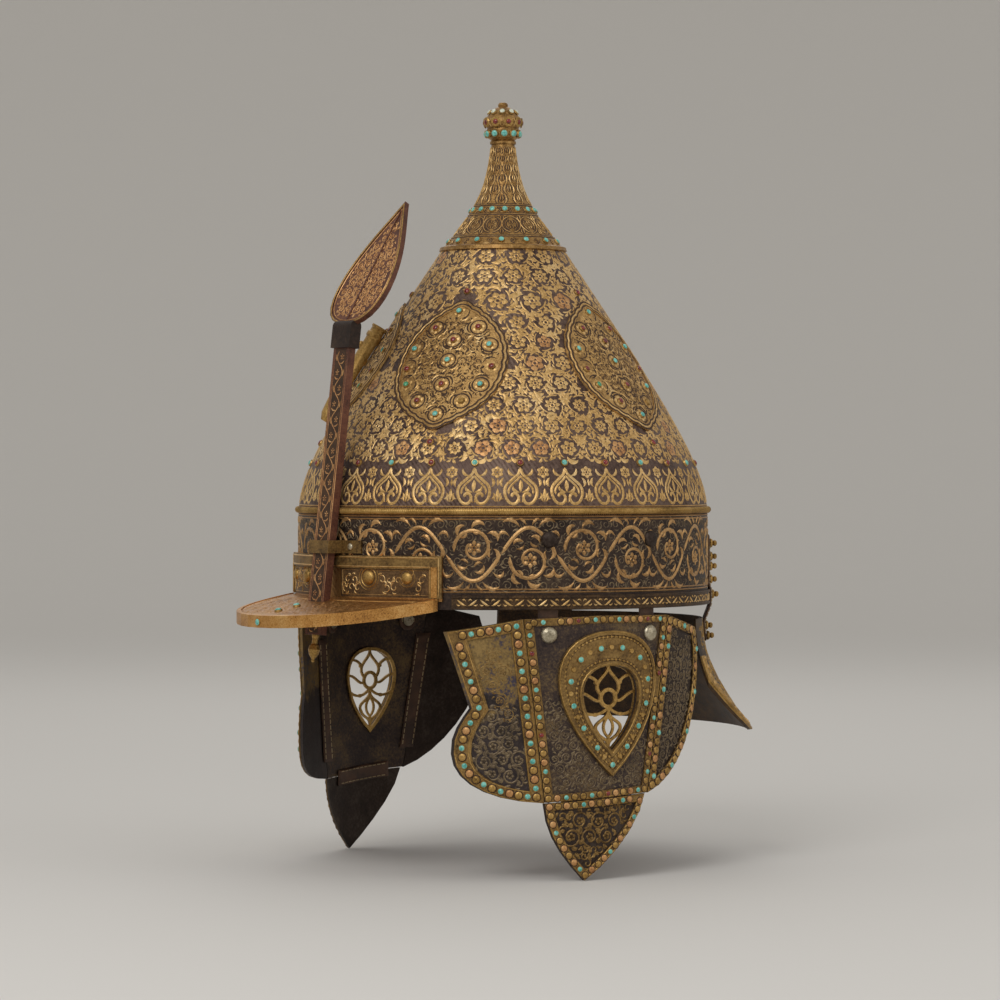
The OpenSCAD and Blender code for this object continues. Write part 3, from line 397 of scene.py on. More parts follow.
# worn brass of the visor flange behind its gold curls
wornBrass = wornMetal("wornBrass", ("#3B2B1C", "#674D31", "#866843"), 0.6, 0.5, 9, 1.0, 0.5)
# browned steel with rubbed gilding left on it in patches: the centre plate of the cheek
brownedPlate = wornMetal("brownedPlate", ("#2B2325", "#4A3D36", "#7B6544"), 0.65, 0.5, 20, 1.4, 0.6)
# brown lacquer that fills engraved lines: nearly matt
umberLine = wornMetal("umberLine", ("#2A1B10", "#422B18", "#573B22"), 0.2, 0.6, 4, 0.8, 0.2)
# thin gilding on copper, pink where the copper shows
roseGold = wornMetal("roseGold", ("#936442", "#C6945F", "#DEB27A"), 0.7, 0.45, 7, 1.0, 0.3)
# grey gold: ornament rubbed down to its steel
greyGold = wornMetal("greyGold", ("#4E4334", "#776650", "#8F7D5C"), 0.65, 0.5, 12, 1.2, 0.5)
# tarnished silver of the domed rivets: pale, with yellow in the hollows
tarnishedSilver = wornMetal("tarnishedSilver", ("#857A64", "#B9AE95", "#CFC6B0"), 0.85, 0.32, 5, 1.0, 0.3)
# red-brown ground of the nasal, a thin worn colour over steel
nasalBrown = wornMetal("nasalBrown", ("#472C21", "#684031", "#80553D"), 0.45, 0.5, 9, 1.0, 0.4)
# polished stones: turquoise with paler clouds, green glass, dark ruby, pale pearl
turquoise = cutStone("turquoise", ("#3A9A90", "#84CFC0"), 0.28)
greenGlass = cutStone("greenGlass", ("#2F7E55", "#63B486"), 0.18)
ruby = cutStone("ruby", ("#4E100F", "#8E2A24"), 0.15)
paleStone = cutStone("paleStone", ("#B9C0A6", "#DFE3CF"), 0.3)
# vegetable-tanned strap leather, oiled dark, with a fine crease net about 1.4 mm across
strapLeather = makeLeather("strapLeather", ("#3B2618", "#5E402A"), 1.4)
# red-brown cotton, plain weave; the real thread of 0.4 mm is drawn at 0.8 mm so that it shows
quiltCotton = makeCotton("quiltCotton", ("#7A3A30", "#A05A48"), 0.8)
# waxed linen thread: pale, with a short twist that catches light like small creases
linenThread = makeLeather("linenThread", ("#A38C66", "#C4AE86"), 0.6)
print("materials are made")

# surfaces to lay ornament on, in millimetres

form = {"bowlR": 116.3, "bandH": 50.0, "domeRise": 24.0, "domeSlope": 0.672, "domePull": 94.0, "capR": 35.6,
        "capZ": 199.5, "neckIn": 18.7, "neckRise": 24.0, "neckFlare": 3.0, "neckPull": 30.0, "neckZ": 261.0,
        "neckR": 6.6, "peakZ": 6.0, "peakFall": 0.2, "peakReach": 167.0, "plateR": 116.0, "barY": 127.2,
        "barLean": 7.06, "barT": 4.2, "barUp": 156.0, "leafFoot": 2.607, "leafLean": 31.0, "leafL": 79.0,
        "leafW": 47.0, "leafT": 2.0, "medalZ": 134.0, "medalL": 86.0, "medalW": 66.0}
bowlR, capR, capZ = form["bowlR"], form["capR"], form["capZ"]


def cubic(p, count, start=0.0, end=1.0):
    t = np.linspace(start, end, count)[:, None]
    p = np.array(p, float)
    return (1 - t) ** 3 * p[0] + 3 * (1 - t) ** 2 * t * p[1] + 3 * (1 - t) * t * t * p[2] + t ** 3 * p[3]


def runOf(line):
    # the length along a line at each of its points
    return np.concatenate([[0], np.cumsum(np.linalg.norm(np.diff(line, axis=0), axis=1))])


def turnedSurface(line):
    # a place function (turn, y, h) for a profile of (radius, height): y runs along the profile
    run = runOf(line)
    slope = np.gradient(line, run, axis=0)
    slope /= np.hypot(*slope.T)[:, None]

    def radius(y):
        return np.interp(y, run, line[:, 0])

    def place(turn, y, h):
        z, tr, tz = (np.interp(y, run, values) for values in (line[:, 1], slope[:, 0], slope[:, 1]))
        out = radius(y) + h * tz
        return np.stack([out * np.cos(turn), out * np.sin(turn), z - h * tr], axis=-1)

    def runAt(z):
        order = np.argsort(line[:, 1])
        return float(np.interp(z, line[order, 1], run[order]))
    return place, radius, runAt


domeCurve = cubic([[bowlR, form["bandH"]], [bowlR, form["bandH"] + form["domeRise"]],
                   [capR + form["domeSlope"] * form["domePull"], capZ - form["domePull"]], [capR, capZ]], 240)
neckCurve = cubic([[capR, capZ], [capR - form["neckIn"], capZ + form["neckRise"]],
                   [form["neckR"] + form["neckFlare"], form["neckZ"] - form["neckPull"]],
                   [form["neckR"], form["neckZ"]]], 120)
skullLine = np.vstack([[[bowlR, -12.0]], [[bowlR, 0.0]], domeCurve, neckCurve[1:]])
skullPlace, skullRadius, skullRun = turnedSurface(skullLine)


def drum(radiusNow, start=-math.pi / 2):
    # arc length and height on a round wall; x runs from the front to the wearer's left, or from start
    def place(x, y, h):
        a, r = np.asarray(x) / radiusNow + start, radiusNow + h
        return np.stack([r * np.cos(a), r * np.sin(a), np.asarray(y) + 0 * a], axis=-1)
    return place


def peakPlace(x, y, h):
    # plan coordinates on the peak's sloping top
    r, fall = np.hypot(x, y), form["peakFall"]
    k = 1 / math.hypot(1, fall)
    return np.stack([x + h * fall * k * x / r, y + h * fall * k * y / r,
                     form["peakZ"] - fall * (r - bowlR) + h * k], axis=-1)


# chased strokes: a part is its corners (x, y, h) and its faces

stroke = {"root": -0.05, "stalk": 0.25, "belly": 0.45}


def strokeMesh(points, widths, lift, closed=False):
    # a ridge along a line, pointed at both ends where it is open
    p, w = np.asarray(points, float), np.asarray(widths, float)
    n = len(p)
    t = np.roll(p, -1, 0) - np.roll(p, 1, 0) if closed else np.gradient(p, axis=0)
    t /= np.maximum(np.hypot(*t.T), 1e-9)[:, None]
    side = np.stack([-t[:, 1], t[:, 0]], 1) * w[:, None] / 2
    rows = np.stack([np.column_stack([p + k * side, np.full(n, h)])
                     for k, h in ((1, stroke["root"]), (0, lift), (-1, stroke["root"]))], 1)

    def walls(a, b):
        return [(a, a + 1, b + 1, b), (a + 1, a + 2, b + 2, b + 1), (a + 2, a, b, b + 2)]
    if closed:
        return rows.reshape(-1, 3), [q for i in range(n) for q in walls(3 * i, 3 * ((i + 1) % n))]
    verts = np.vstack([[[*p[0], 0.0]], rows[1:-1].reshape(-1, 3), [[*p[-1], 0.0]]])
    tip = len(verts) - 1
    a = tip - 3
    faces = [(0, 2, 1), (0, 3, 2), (0, 1, 3)] + [q for i in range(n - 3) for q in walls(1 + 3 * i, 4 + 3 * i)]
    return verts, faces + [(a, a + 1, tip), (a + 1, a + 2, tip), (a + 2, a, tip)]


def stem(points, width=0.7, lift=0.22, closed=False):
    return strokeMesh(points, np.full(len(points), width), lift, closed)


def leaf(p0, p1, p2, p3, width, lift=0.25, count=7):
    # thin stalk, full belly, pointed tip
    t, stalk, belly = np.linspace(0, 1, count), stroke["stalk"], stroke["belly"]
    rise, fall = np.clip(t / belly, 0, 1), np.clip((1 - t) / (1 - belly), 0, 1)
    widths = width * (stalk + (1 - stalk) * rise ** 1.5) * np.sqrt(fall) + 0.02
    return strokeMesh(cubic([p0, p1, p2, p3], count), widths, lift)


def sideways(s):
    # a way for leaves to lie: as drawn (1) or mirrored (-1)
    return lambda x, y: (s * x, y)


def outwards(degrees):
    # a way seen from an angle: x goes outwards, y across
    r = math.radians(degrees)
    out, on = np.array([math.cos(r), math.sin(r)]), np.array([-math.sin(r), math.cos(r)])
    return lambda x, y=0.0: x * out + y * on


def leaves(rows, way=sideways(1)):
    # a row is four points, then width, lift and count of a leaf
    return [leaf(*[way(*row[k:k + 2]) for k in (0, 2, 4, 6)], *row[8:]) for row in rows]


def joined(parts):
    verts, faces, base = [], [], 0
    for v, f in parts:
        verts.append(v)
        faces += [tuple(i + base for i in q) for q in f]
        base += len(v)
    return np.vstack(verts), faces


def shifted(part, x, y):
    return part[0] + [x, y, 0], part[1]


def flipped(part, scale=(1, 1, 1)):
    # faces turned round, for a part that is mirrored by its scale or its place
    return part[0] * scale, [tuple(reversed(q)) for q in part[1]]


def placed(part, place, lift=0.0):
    verts, faces = part
    return place(verts[:, 0], verts[:, 1], verts[:, 2] + lift), faces


def spiralPoints(cx, cy, r0, r1, a0, a1, count):
    a, r = np.radians(np.linspace(a0, a1, count)), np.linspace(r0, r1, count)
    return np.stack([cx + r * np.cos(a), cy + r * np.sin(a)], 1)


def ring(r, width, count=10, lift=0.3, cx=0.0, cy=0.0):
    return stem(spiralPoints(cx, cy, r, r, 0, 360 - 360 / count, count), width, lift, True)


def rosette(size, petals, inner=0.3, belly=0.5, lift=0.3):
    parts = [ring(0.27 * size, 0.2 * size, 8, lift)]
    wide = 2 * math.pi * size * 0.6 / petals * belly * 2
    for k in range(petals):
        way = outwards(90 + 360 * k / petals)
        spine = [way(size * t) for t in (inner, 0.55, 0.8, 1.0)]
        parts.append(strokeMesh(spine, [0.1, wide, wide * 0.8, 0.05], lift))
    return joined(parts)


def scrollKnot(size, lift=0.25, bold=1.0):
    # a coiled stem that ends in a flower, with split leaves along its outside
    s = size / 5
    parts = [stem(spiralPoints(0, 0, 4.2 * s, 1.9 * s, -150, 250, 14), (0.6 * s + 0.1) * bold, lift),
             rosette(1.9 * s, 5, belly=0.5 * min(bold, 1.2), lift=lift)]
    for a, wide in ((-150, 1.5), (-95, 1.7), (-40, 1.5), (20, 1.6), (75, 1.3), (130, 1.2)):
        row = [3.9 * s, 0, 4.8 * s, 0.3 * s, 5.5 * s, 1.7 * s, 4.5 * s, 2.7 * s, wide * s * bold, lift, 6]
        parts += leaves([row], outwards(a))
    return joined(parts)


def smallCurl(size, lift=0.2, bold=1.0):
    s = size / 3
    rows = [(-1.9, -1.1, -2.9, -2.0, -1.2, -3.0, 0.2, -2.6, 1.1 * s * bold, lift, 6),
            (2.0, 0.6, 3.0, 1.2, 2.2, 2.6, 0.9, 2.7, 1.0 * s * bold, lift, 6)]
    coil = stem(spiralPoints(0, 0, 2.2 * s, 0.6 * s, -150, 190, 10), (0.45 * s + 0.1) * bold, lift)
    return joined([coil] + leaves(rows, lambda x, y: (x * s, y * s)))


def scatter(motif, spots, place, radius=None):
    # spots are (x, y, turn in degrees, scale, mirrored); with radius, x is an angle
    verts, faces = motif
    x0, y0, turn, scale, flip = (np.array(c, float)[:, None] for c in zip(*spots))
    c, s = np.cos(np.radians(turn)) * scale, np.sin(np.radians(turn)) * scale
    vx, vy = np.where(flip > 0, -verts[:, 0], verts[:, 0]), verts[:, 1]
    x, y = c * vx - s * vy, s * vx + c * vy + y0
    x = (x / radius(y) if radius else x) + x0
    h = np.broadcast_to(verts[:, 2], x.shape)
    back = [q[::-1] for q in faces]
    made = [tuple(i + k * len(verts) for i in q) for k in range(len(spots)) for q in (back if flip[k, 0] else faces)]
    return place(x.ravel(), y.ravel(), h.ravel()), made


def onSkull(motif, spots):
    return scatter(motif, spots, skullPlace, skullRadius)


def upright(xs, y, size=1.0):
    # spots in a row, all alike
    return [(x, y, 0, size, 0) for x in xs]


def hoop(y, width, lift, count=240):
    # a ridge round the skull
    half, angles = width / 2, np.array(around(count))
    rows = [(y + half, stroke["root"]), (y, lift), (y - half, stroke["root"])]
    verts = np.vstack([skullPlace(angles, np.full(count, up), np.full(count, h)) for up, h in rows])
    return verts, [(a * count + k, b * count + k, b * count + (k + 1) % count, a * count + (k + 1) % count)
                   for k in range(count) for a, b in ((0, 1), (1, 2), (2, 0))]


def slab(x0, x1, y0, y1, h0, h1, place, steps=24):
    # a thin plate on a surface
    n, xs = steps + 1, np.linspace(x0, x1, steps + 1)
    verts = np.vstack([place(xs, np.full(n, y), np.full(n, h)) for y, h in ((y0, h0), (y1, h0), (y1, h1), (y0, h1))])
    faces = [(a * n + k, b * n + k, b * n + k + 1, a * n + k + 1)
             for a, b in ((0, 1), (1, 2), (2, 3), (3, 0)) for k in range(steps)]
    return verts, faces + [(0, 3 * n, 2 * n, n), (steps, n + steps, 2 * n + steps, 3 * n + steps)]


def settle(piece, body, slotName):
    # the piece rides on body, or bends later when there is none
    if body:
        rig.ride(piece, body)
    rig.slot(piece, slotName)
    return piece


def makePiece(name, part, material, body="root", slotName="gilt", mirrored=False, smooth=False):
    verts, faces = flipped(part, (-1, 1, 1)) if mirrored else part
    mesh = bpy.data.meshes.new(name)
    mesh.from_pydata((np.asarray(verts, float) / 1000).tolist(), [], faces)
    if smooth:
        mesh.polygons.foreach_set("use_smooth", [True] * len(mesh.polygons))
    mesh.materials.append(material)
    return settle(newObject(name, mesh), body, slotName)


def facesOut(piece):
    # turns a closed shell the right way round by its signed volume
    mesh = piece.data
    mesh.calc_loop_triangles()
    corners = np.array([v.co for v in mesh.vertices])
    a, b, c = corners[np.array([t.vertices[:] for t in mesh.loop_triangles])].transpose(1, 0, 2)
    if np.einsum("ij,ij->i", a, np.cross(b, c)).sum() < 0:
        mesh.flip_normals()


# Geometry Nodes: studs, collets, stones and stitches


def newTree(name, inputs):
    # a tree with named inputs that gives a mesh
    tree = bpy.data.node_groups.new(name, "GeometryNodeTree")
    for label, kind in inputs.items():
        tree.interface.new_socket(label, in_out="INPUT", socket_type="NodeSocket" + kind)
    tree.interface.new_socket("Mesh", in_out="OUTPUT", socket_type="NodeSocketGeometry")
    return tree, addNode(tree, "NodeGroupInput").outputs


def endTree(tree, geometry, material):
    paint = addNode(tree, "GeometryNodeSetMaterial", {"Geometry": geometry, "Material": material})
    addNode(tree, "NodeGroupOutput", {"Mesh": paint.outputs[0]})


def studTree(name, shape, material):
    # puts a small turned shape on every point, along the point's facing; shape is stone, disc or stitch
    tree, given = newTree(name, {"Points": "Geometry", "Radius": "Float", "Height": "Float", "Sides": "Int"})
    radius, height, count = given["Radius"], given["Height"], given["Sides"]
    if shape == "stone":
        ball = addNode(tree, "GeometryNodeMeshUVSphere", {"Segments": count, "Rings": 6, "Radius": 1.0})
        size = addNode(tree, "ShaderNodeCombineXYZ", {"X": radius, "Y": radius, "Z": height})
        solid = addNode(tree, "GeometryNodeTransform", {"Geometry": ball.outputs["Mesh"], "Scale": size.outputs[0]})
    else:
        top = addNode(tree, "ShaderNodeMath", {0: radius, 1: 0.86 if shape == "disc" else 1.0}, operation="MULTIPLY")
        solid = addNode(tree, "GeometryNodeMeshCone", {"Vertices": count, "Radius Top": top.outputs[0],
                                                       "Radius Bottom": radius, "Depth": height})
    facing = addNode(tree, "GeometryNodeInputNamedAttribute", {"Name": "facing"}, data_type="FLOAT_VECTOR")
    turn = addNode(tree, "FunctionNodeAlignRotationToVector", {"Vector": facing.outputs["Attribute"]}, axis="Z")
    spread = addNode(tree, "GeometryNodeInstanceOnPoints", {
        "Points": given["Points"], "Instance": solid.outputs[0], "Rotation": turn.outputs["Rotation"]})
    real = addNode(tree, "GeometryNodeRealizeInstances", {"Geometry": spread.outputs["Instances"]})
    smooth = addNode(tree, "GeometryNodeSetShadeSmooth", {"Geometry": real.outputs[0],
                                                          "Shade Smooth": shape == "stone"})
    endTree(tree, smooth.outputs[0], material)
    return tree


def applyTree(piece, tree, values):
    # runs the tree on the piece, keeps the result as a plain mesh and drops the modifier
    modifier = piece.modifiers.new("grow", "NODES")
    modifier.node_group = tree
    sockets = {s.name: s.identifier for s in tree.interface.items_tree if s.in_out == "INPUT"}
    for label, value in values.items():
        modifier[sockets[label]] = value
    graph = bpy.context.evaluated_depsgraph_get()
    made = bpy.data.meshes.new_from_object(piece.evaluated_get(graph), depsgraph=graph)
    piece.modifiers.clear()
    piece.data = made
    if "facing" in made.attributes:
        made.attributes.remove(made.attributes["facing"])


def studs(name, spots, shape, radius, height, material, body="root", slotName="gilt", sides=10, mirrored=False):
    # spots are (position in millimetres, facing)
    mesh = bpy.data.meshes.new(name)
    where, facing = (np.array([s[k] for s in spots], float) * [-1 if mirrored else 1, 1, 1] for k in (0, 1))
    mesh.from_pydata((where / 1000).tolist(), [], [])
    ways = mesh.attributes.new("facing", "FLOAT_VECTOR", "POINT").data
    ways.foreach_set("vector", facing.astype(np.float32).ravel())
    piece = newObject(name, mesh)
    applyTree(piece, studTree(name + "Tree", shape, material),
              {"Radius": radius / 1000, "Height": height / 1000, "Sides": sides})
    return settle(piece, body, slotName)


def onSurface(place, spots, h=0.0):
    # spots for studs: the point, and the way the surface faces there
    made = []
    for x, y in spots:
        a, b = place(np.array([x, x]), np.array([y, y]), np.array([h, h + 1.0]))
        made.append((a, (b - a) / np.linalg.norm(b - a)))
    return made


def raised(spots, h):
    return [(p + h * n, n) for p, n in spots]


def setStones(name, where, stone, size=1.0, body="root", mirrored=False, collet=giltCopper):
    # a low gilt collar and a domed stone at every spot
    if collet:
        studs(name + "_collets", where, "disc", 2.15 * size, 0.85 * size, collet, body, sides=12, mirrored=mirrored)
    studs(name + "_stones", raised(where, 0.72 * size), "stone", 1.7 * size, 0.85 * size, stone, body, sides=12,
          mirrored=mirrored)

# finishes of the solids that stay; medallions by their bearing from the front

sides = ("left", "right")
medals = {"front_left": 30.5, "front_right": -30.5, "side_left": 106.0, "side_right": -106.0, "rear": 180.0}
finishes = [(russetSteel, "bowl"), (brownGround, "neck_guard brim_border"), (blackenedSteel, "band nasal_collar"),
            (crownGilt, "crown_cap finial"), (ochreGilt, " ".join("medallion_" + key for key in medals)),
            (peakGilt, "visor"), (rimGilt, "visor_rim"), (darkGilt, "visor_trim nasal_staple"),
            (giltCopper, "upper_moulding visor_rivets plume_socket nasal_knob neck_guard_border "
                         "neck_strap_knobs neck_guard_knobs"),
            (nasalBrown, "nasal_bar nasal_leaf"), (tarnishedSilver, "staple_rivets nasal_spring"),
            (greySteel, "band_rivets")]
for side in sides:
    borders = " ".join(f"cheek_{part}_border_{side}" for part in ("centre", "front", "rear", "lower"))
    finishes += [(greySteel, f"cheek_rear_{side} cheek_lower_{side}"), (brownedPlate, f"cheek_centre_{side}"),
                 (rubbedPlate, f"cheek_front_{side}"), (darkGilt, f"ear_frame_{side} {borders}"),
                 (giltCopper, f"ear_grille_{side}"), (tarnishedSilver, f"cheek_rivets_{side}")]
for material, names in finishes:
    for name in names.split():
        slots = nodes[name].data.materials
        if not slots:
            slots.append(material)
        for k in range(len(slots)):
            slots[k] = material
print("nodes have their finishes")

# dome: flowers between knots of split leaves, in rows whose count drops towards the top

dome = {"counts": (42, 36, 30, 24, 18, 14), "leastCell": 14.6, "drawnCell": 16.0, "rowShare": 0.88, "flower": 4.6,
        "start": 87.6, "topGap": 1.0, "bareTop": 3.5, "seed": 7, "plumeBearing": -122.0, "plumeHalf": 5.0,
        "plumeFrom": 99.0, "plumeTo": 155.0}


def medalEdge(count):
    # a quarter of a medallion's outline, as height and half width
    long, wide = form["medalL"], form["medalW"]
    return cubic([[long / 2, 0], [0.41 * long, 0.23 * wide], [0.3 * long, 0.5 * wide], [0, 0.5 * wide]], count)


medalHalf = medalEdge(24)


def freeOnDome(angle, y, margin):
    def apart(centre):
        return abs((angle - centre + math.pi) % (2 * math.pi) - math.pi) * skullRadius(y)
    up = abs(y - skullRun(form["medalZ"]))
    wide = np.interp(up, medalHalf[::-1, 0], medalHalf[::-1, 1], right=-1)
    if up < medalHalf[0, 0] + margin and any(apart(math.radians(a - 90)) < wide + margin for a in medals.values()):
        return False
    behind = skullRun(dome["plumeFrom"]) < y < skullRun(dome["plumeTo"])
    return not (behind and apart(math.radians(dome["plumeBearing"])) < dome["plumeHalf"])


def domeKnot(kind):
    # three split leaves that turn round a flower, a stem with a small leaf between each two
    split = [(5.1, -0.6, 7.6, 0.2, 9.4, 3.6, 6.0, 5.6, 3.0, 0.17, 9),
             (6.3, 0.4, 8.2, -0.6, 9.2, -2.4, 7.4, -3.6, 1.9, 0.16, 7),
             (5.6, 1.6, 6.2, 2.6, 5.6, 3.8, 4.6, 4.2, 1.1, 0.15, 6)]
    single = [(5.9, 0.6, 7.2, 0.8, 8.3, 0.2, 9.0, -0.8, 1.9, 0.16, 7),
              (6.0, 1.6, 7.2, 2.4, 7.8, 3.4, 7.4, 4.6, 1.5, 0.16, 7)]
    parts = []
    for k in range(6):
        way = outwards(60 * k - 160)
        if (k + kind) % 2:
            parts += leaves(split, way)
        else:
            line = cubic([way(5.0, -2.2), way(6.2), way(6.3, 2.4), way(5.2, 4.4)], 8)
            parts += [stem(line, 0.85, 0.15)] + leaves(single, way)
    return joined(parts)


def bud():
    # three small leaves that fill the gap between three knots
    parts = []
    for a, far in ((90, 1.3), (215, 1.1), (325, 1.1)):
        row = (-0.2, 0, 1.2 * far, 0.8, 2.4 * far, 0.5, 3.2 * far, -0.3, 1.5 * far, 0.15, 6)
        parts += leaves([row], outwards(a))
    return joined(parts)


def dressDome():
    rng, size = random.Random(dome["seed"]), dome["flower"]
    flowers = {"round": rosette(size, 6, 0.34, 0.56, 0.18), "star": rosette(size * 1.04, 5, 0.34, 0.6, 0.18),
               "full": rosette(size * 0.96, 8, 0.36, 0.55, 0.18)}
    spots = {"round": [], "star": [], "full": [], 0: [], 1: [], "bud": []}
    y, row, count = skullRun(dome["start"]), 0, None
    top = skullRun(capZ) - dome["topGap"]
    while y < top:
        r = float(skullRadius(y))
        now = next((n for n in dome["counts"] if 2 * math.pi * r / n >= dome["leastCell"]), dome["counts"][-1])
        if now != count:
            count, row = now, 0
        cell = 2 * math.pi * r / count
        rise, scale = dome["rowShare"] * cell, cell / dome["drawnCell"]
        for angle in around(count, 0.5 * (row % 2)):
            if freeOnDome(angle, y, 0.5) and y < top - dome["bareTop"]:
                kind = rng.choice(("round", "round", "star", "full"))
                spots[kind].append((angle, y, rng.uniform(-30, 30), scale * rng.uniform(0.95, 1.1), 0))
            if freeOnDome(angle, y, -2) and y < top - dome["bareTop"]:
                spots[rng.randrange(2)].append((angle, y, 60 * rng.randrange(6) + rng.uniform(-8, 8),
                                                scale * rng.uniform(0.97, 1.05), rng.randrange(2)))
            for up in (-1, 1):
                a, b = angle + math.pi / count, y + up * rise / 3
                if freeOnDome(a, b, -1) and b < top - 2:
                    spots["bud"].append((a, b, rng.uniform(0, 360), scale, 0))
        y, row = y + rise, row + 1
    makePiece("dome_flowers", joined([onSkull(flowers[key], spots[key]) for key in ("round", "full")]), goldLeaf)
    makePiece("dome_rose_flowers", onSkull(flowers["star"], spots["star"]), roseGold)
    makePiece("dome_leaves", joined([onSkull(domeKnot(k), spots[k]) for k in (0, 1)]), goldLeaf)
    makePiece("dome_buds", onSkull(bud(), spots["bud"]), goldLeaf)


dressDome()
print("dome is dressed")

# palmette frieze above the moulding

frieze = {"count": 28, "foot": 56.6, "flowerRise": 18.6, "stoneHeight": 79.5, "colletRadius": 2.2,
          "stoneRadius": 1.65}


def smoothLine(points, count):
    # a soft curve through the given points
    p, out = np.array(points, float), []
    ext = np.vstack([2 * p[0] - p[1], p, 2 * p[-1] - p[-2]])
    for t in np.linspace(0, len(p) - 1 - 1e-9, count):
        i, f = int(t), t - int(t)
        a, b, c, d = ext[i:i + 4]
        out.append(0.5 * (2 * b + (c - a) * f + (2 * a - 5 * b + 4 * c - d) * f ** 2
                          + (3 * b - a - 3 * c + d) * f ** 3))
    return np.array(out)


def palmette():
    # a heart whose ends roll inwards, drawn in two lines, with a three-part flower in it
    outer = smoothLine([(0.0, 21.4), (1.0, 17.8), (4.6, 14.2), (8.2, 10.4), (8.6, 5.6), (6.4, 1.6), (3.2, 0.9),
                        (1.3, 3.4), (2.2, 6.2), (4.6, 6.2), (4.9, 4.3)], 28)
    inner = smoothLine([(0.0, 16.8), (1.6, 14.4), (4.8, 11.4), (6.6, 8.6), (6.6, 5.8)], 11)
    right = [stem(outer, 1.6, 0.24), stem(inner, 1.15, 0.2)]
    right += leaves([(0.3, 7.2, 2.4, 7.2, 4.9, 8.2, 4.2, 10.8, 2.0, 0.2),
                     (0.2, 1.4, 1.2, 2.0, 1.4, 3.6, 0.5, 5.2, 1.2, 0.2),
                     (9.2, 3.6, 11.2, 3.0, 12.2, 5.6, 10.6, 7.0, 1.6, 0.2),
                     (9.6, 10.2, 11.4, 11.0, 11.2, 14.0, 9.0, 15.6, 1.8, 0.2),
                     (2.8, 16.8, 4.8, 16.4, 7.0, 18.2, 6.4, 20.8, 1.9, 0.2)])
    right.append(stem(spiralPoints(6.4, 1.2, 6.6, 6.6, 200, 340, 9) * [1, 0.42] + [0, -1.2], 0.7, 0.18))
    middle = leaves([(0, 7.0, -0.5, 9.6, 0.5, 11.8, 0, 14.2, 2.6, 0.2),
                     (13, 1.6, 12.7, 4.2, 13.3, 6.6, 13, 9.4, 2.2, 0.2),
                     (12.5, 1.8, 11.3, 3.0, 10.6, 4.4, 11.4, 6.0, 1.3, 0.2),
                     (13.5, 1.8, 14.7, 3.0, 15.4, 4.4, 14.6, 6.0, 1.3, 0.2),
                     (13, 15.0, 12.7, 13.4, 13.3, 12.0, 13, 10.6, 1.4, 0.2)])
    return joined(right + [flipped(part, (-1, 1, 1)) for part in right] + middle)


def dressFrieze():
    y, top = skullRun(frieze["foot"]), skullRun(frieze["stoneHeight"])
    turns, between = around(frieze["count"], 0.5), around(frieze["count"], 1)
    flowers = onSkull(rosette(3.6, 6, 0.34, 0.56, 0.2), upright(between, y + frieze["flowerRise"]))
    parts = [onSkull(palmette(), upright(turns, y)), flowers, hoop(y - 0.7, 0.7, 0.3)]
    makePiece("palmette_frieze", joined(parts), goldLeaf)
    spots = [(a, top) for a in turns]
    studs("frieze_collets", onSurface(skullPlace, spots), "disc", frieze["colletRadius"], 1.0, giltCopper, sides=12)
    high = onSurface(skullPlace, spots, 0.8)
    studs("frieze_turquoises", high[0::2], "stone", frieze["stoneRadius"], 1.1, turquoise)
    studs("frieze_rubies", high[1::2], "stone", frieze["stoneRadius"], 1.0, ruby)


dressFrieze()
print("frieze is dressed")

# band: a running scroll of heavy stems and split leaves over small tendrils

band = {"low": 9.6, "high": 50.6, "bays": 24, "stemWidth": 2.2, "lift": 0.45, "wave": 14.5, "coilX": 0.6,
        "coilY": -3.4, "edgeGap": 1.6, "tendrils": 110, "tendrilRows": 6, "firstRow": 13.2, "rowGap": 6.6, "seed": 11}


def scrollBay(half):
    # one bay: the crest of the wave at x = 0, its spiral below, filler leaves at the corners
    wide, lift, cx, cy = band["stemWidth"], band["lift"], band["coilX"], band["coilY"]
    crest = [(x, band["wave"] * math.cos(math.pi * x / (2 * half))) for x in np.linspace(-half, half, 17)]
    parts = [stem(crest, wide, lift),
             strokeMesh(spiralPoints(cx, cy, 11.4, 3.2, 168, 590, 30), np.linspace(wide, 1.4, 30), lift),
             shifted(rosette(4.2, 6, lift=lift), cx, cy)]
    for a, s in ((215, 1.0), (262, 1.05), (312, 1.0), (2, 0.95), (60, 0.85), (110, 0.8)):
        way = outwards(a)
        parts += leaves([(10.4, 0, 10.4 + 3.2 * s, 1, 10.4 + 4.6 * s, 5 * s, 11.2, 7.2 * s, 3.0 * s, lift),
                         (9.4, 0, 7.8, 1, 7.0, 3.4, 9.0, 5.2, 2.0 * s, lift)], lambda x, y: way(x, y) + [cx, cy])
    for s in (-1, 1):
        parts += leaves([(5, 14.6, 7.4, 18.6, 11.4, 20.4, 14.6, 17.2, 2.6, lift),
                         (10.6, 9.4, 13.2, 13.4, 16.4, 12.6, 16.6, 8.8, 2.3, lift),
                         (1.6, 15.6, 2.4, 18.0, 4.0, 19.6, 6.0, 19.2, 1.9, lift)], sideways(s))
    return joined(parts)


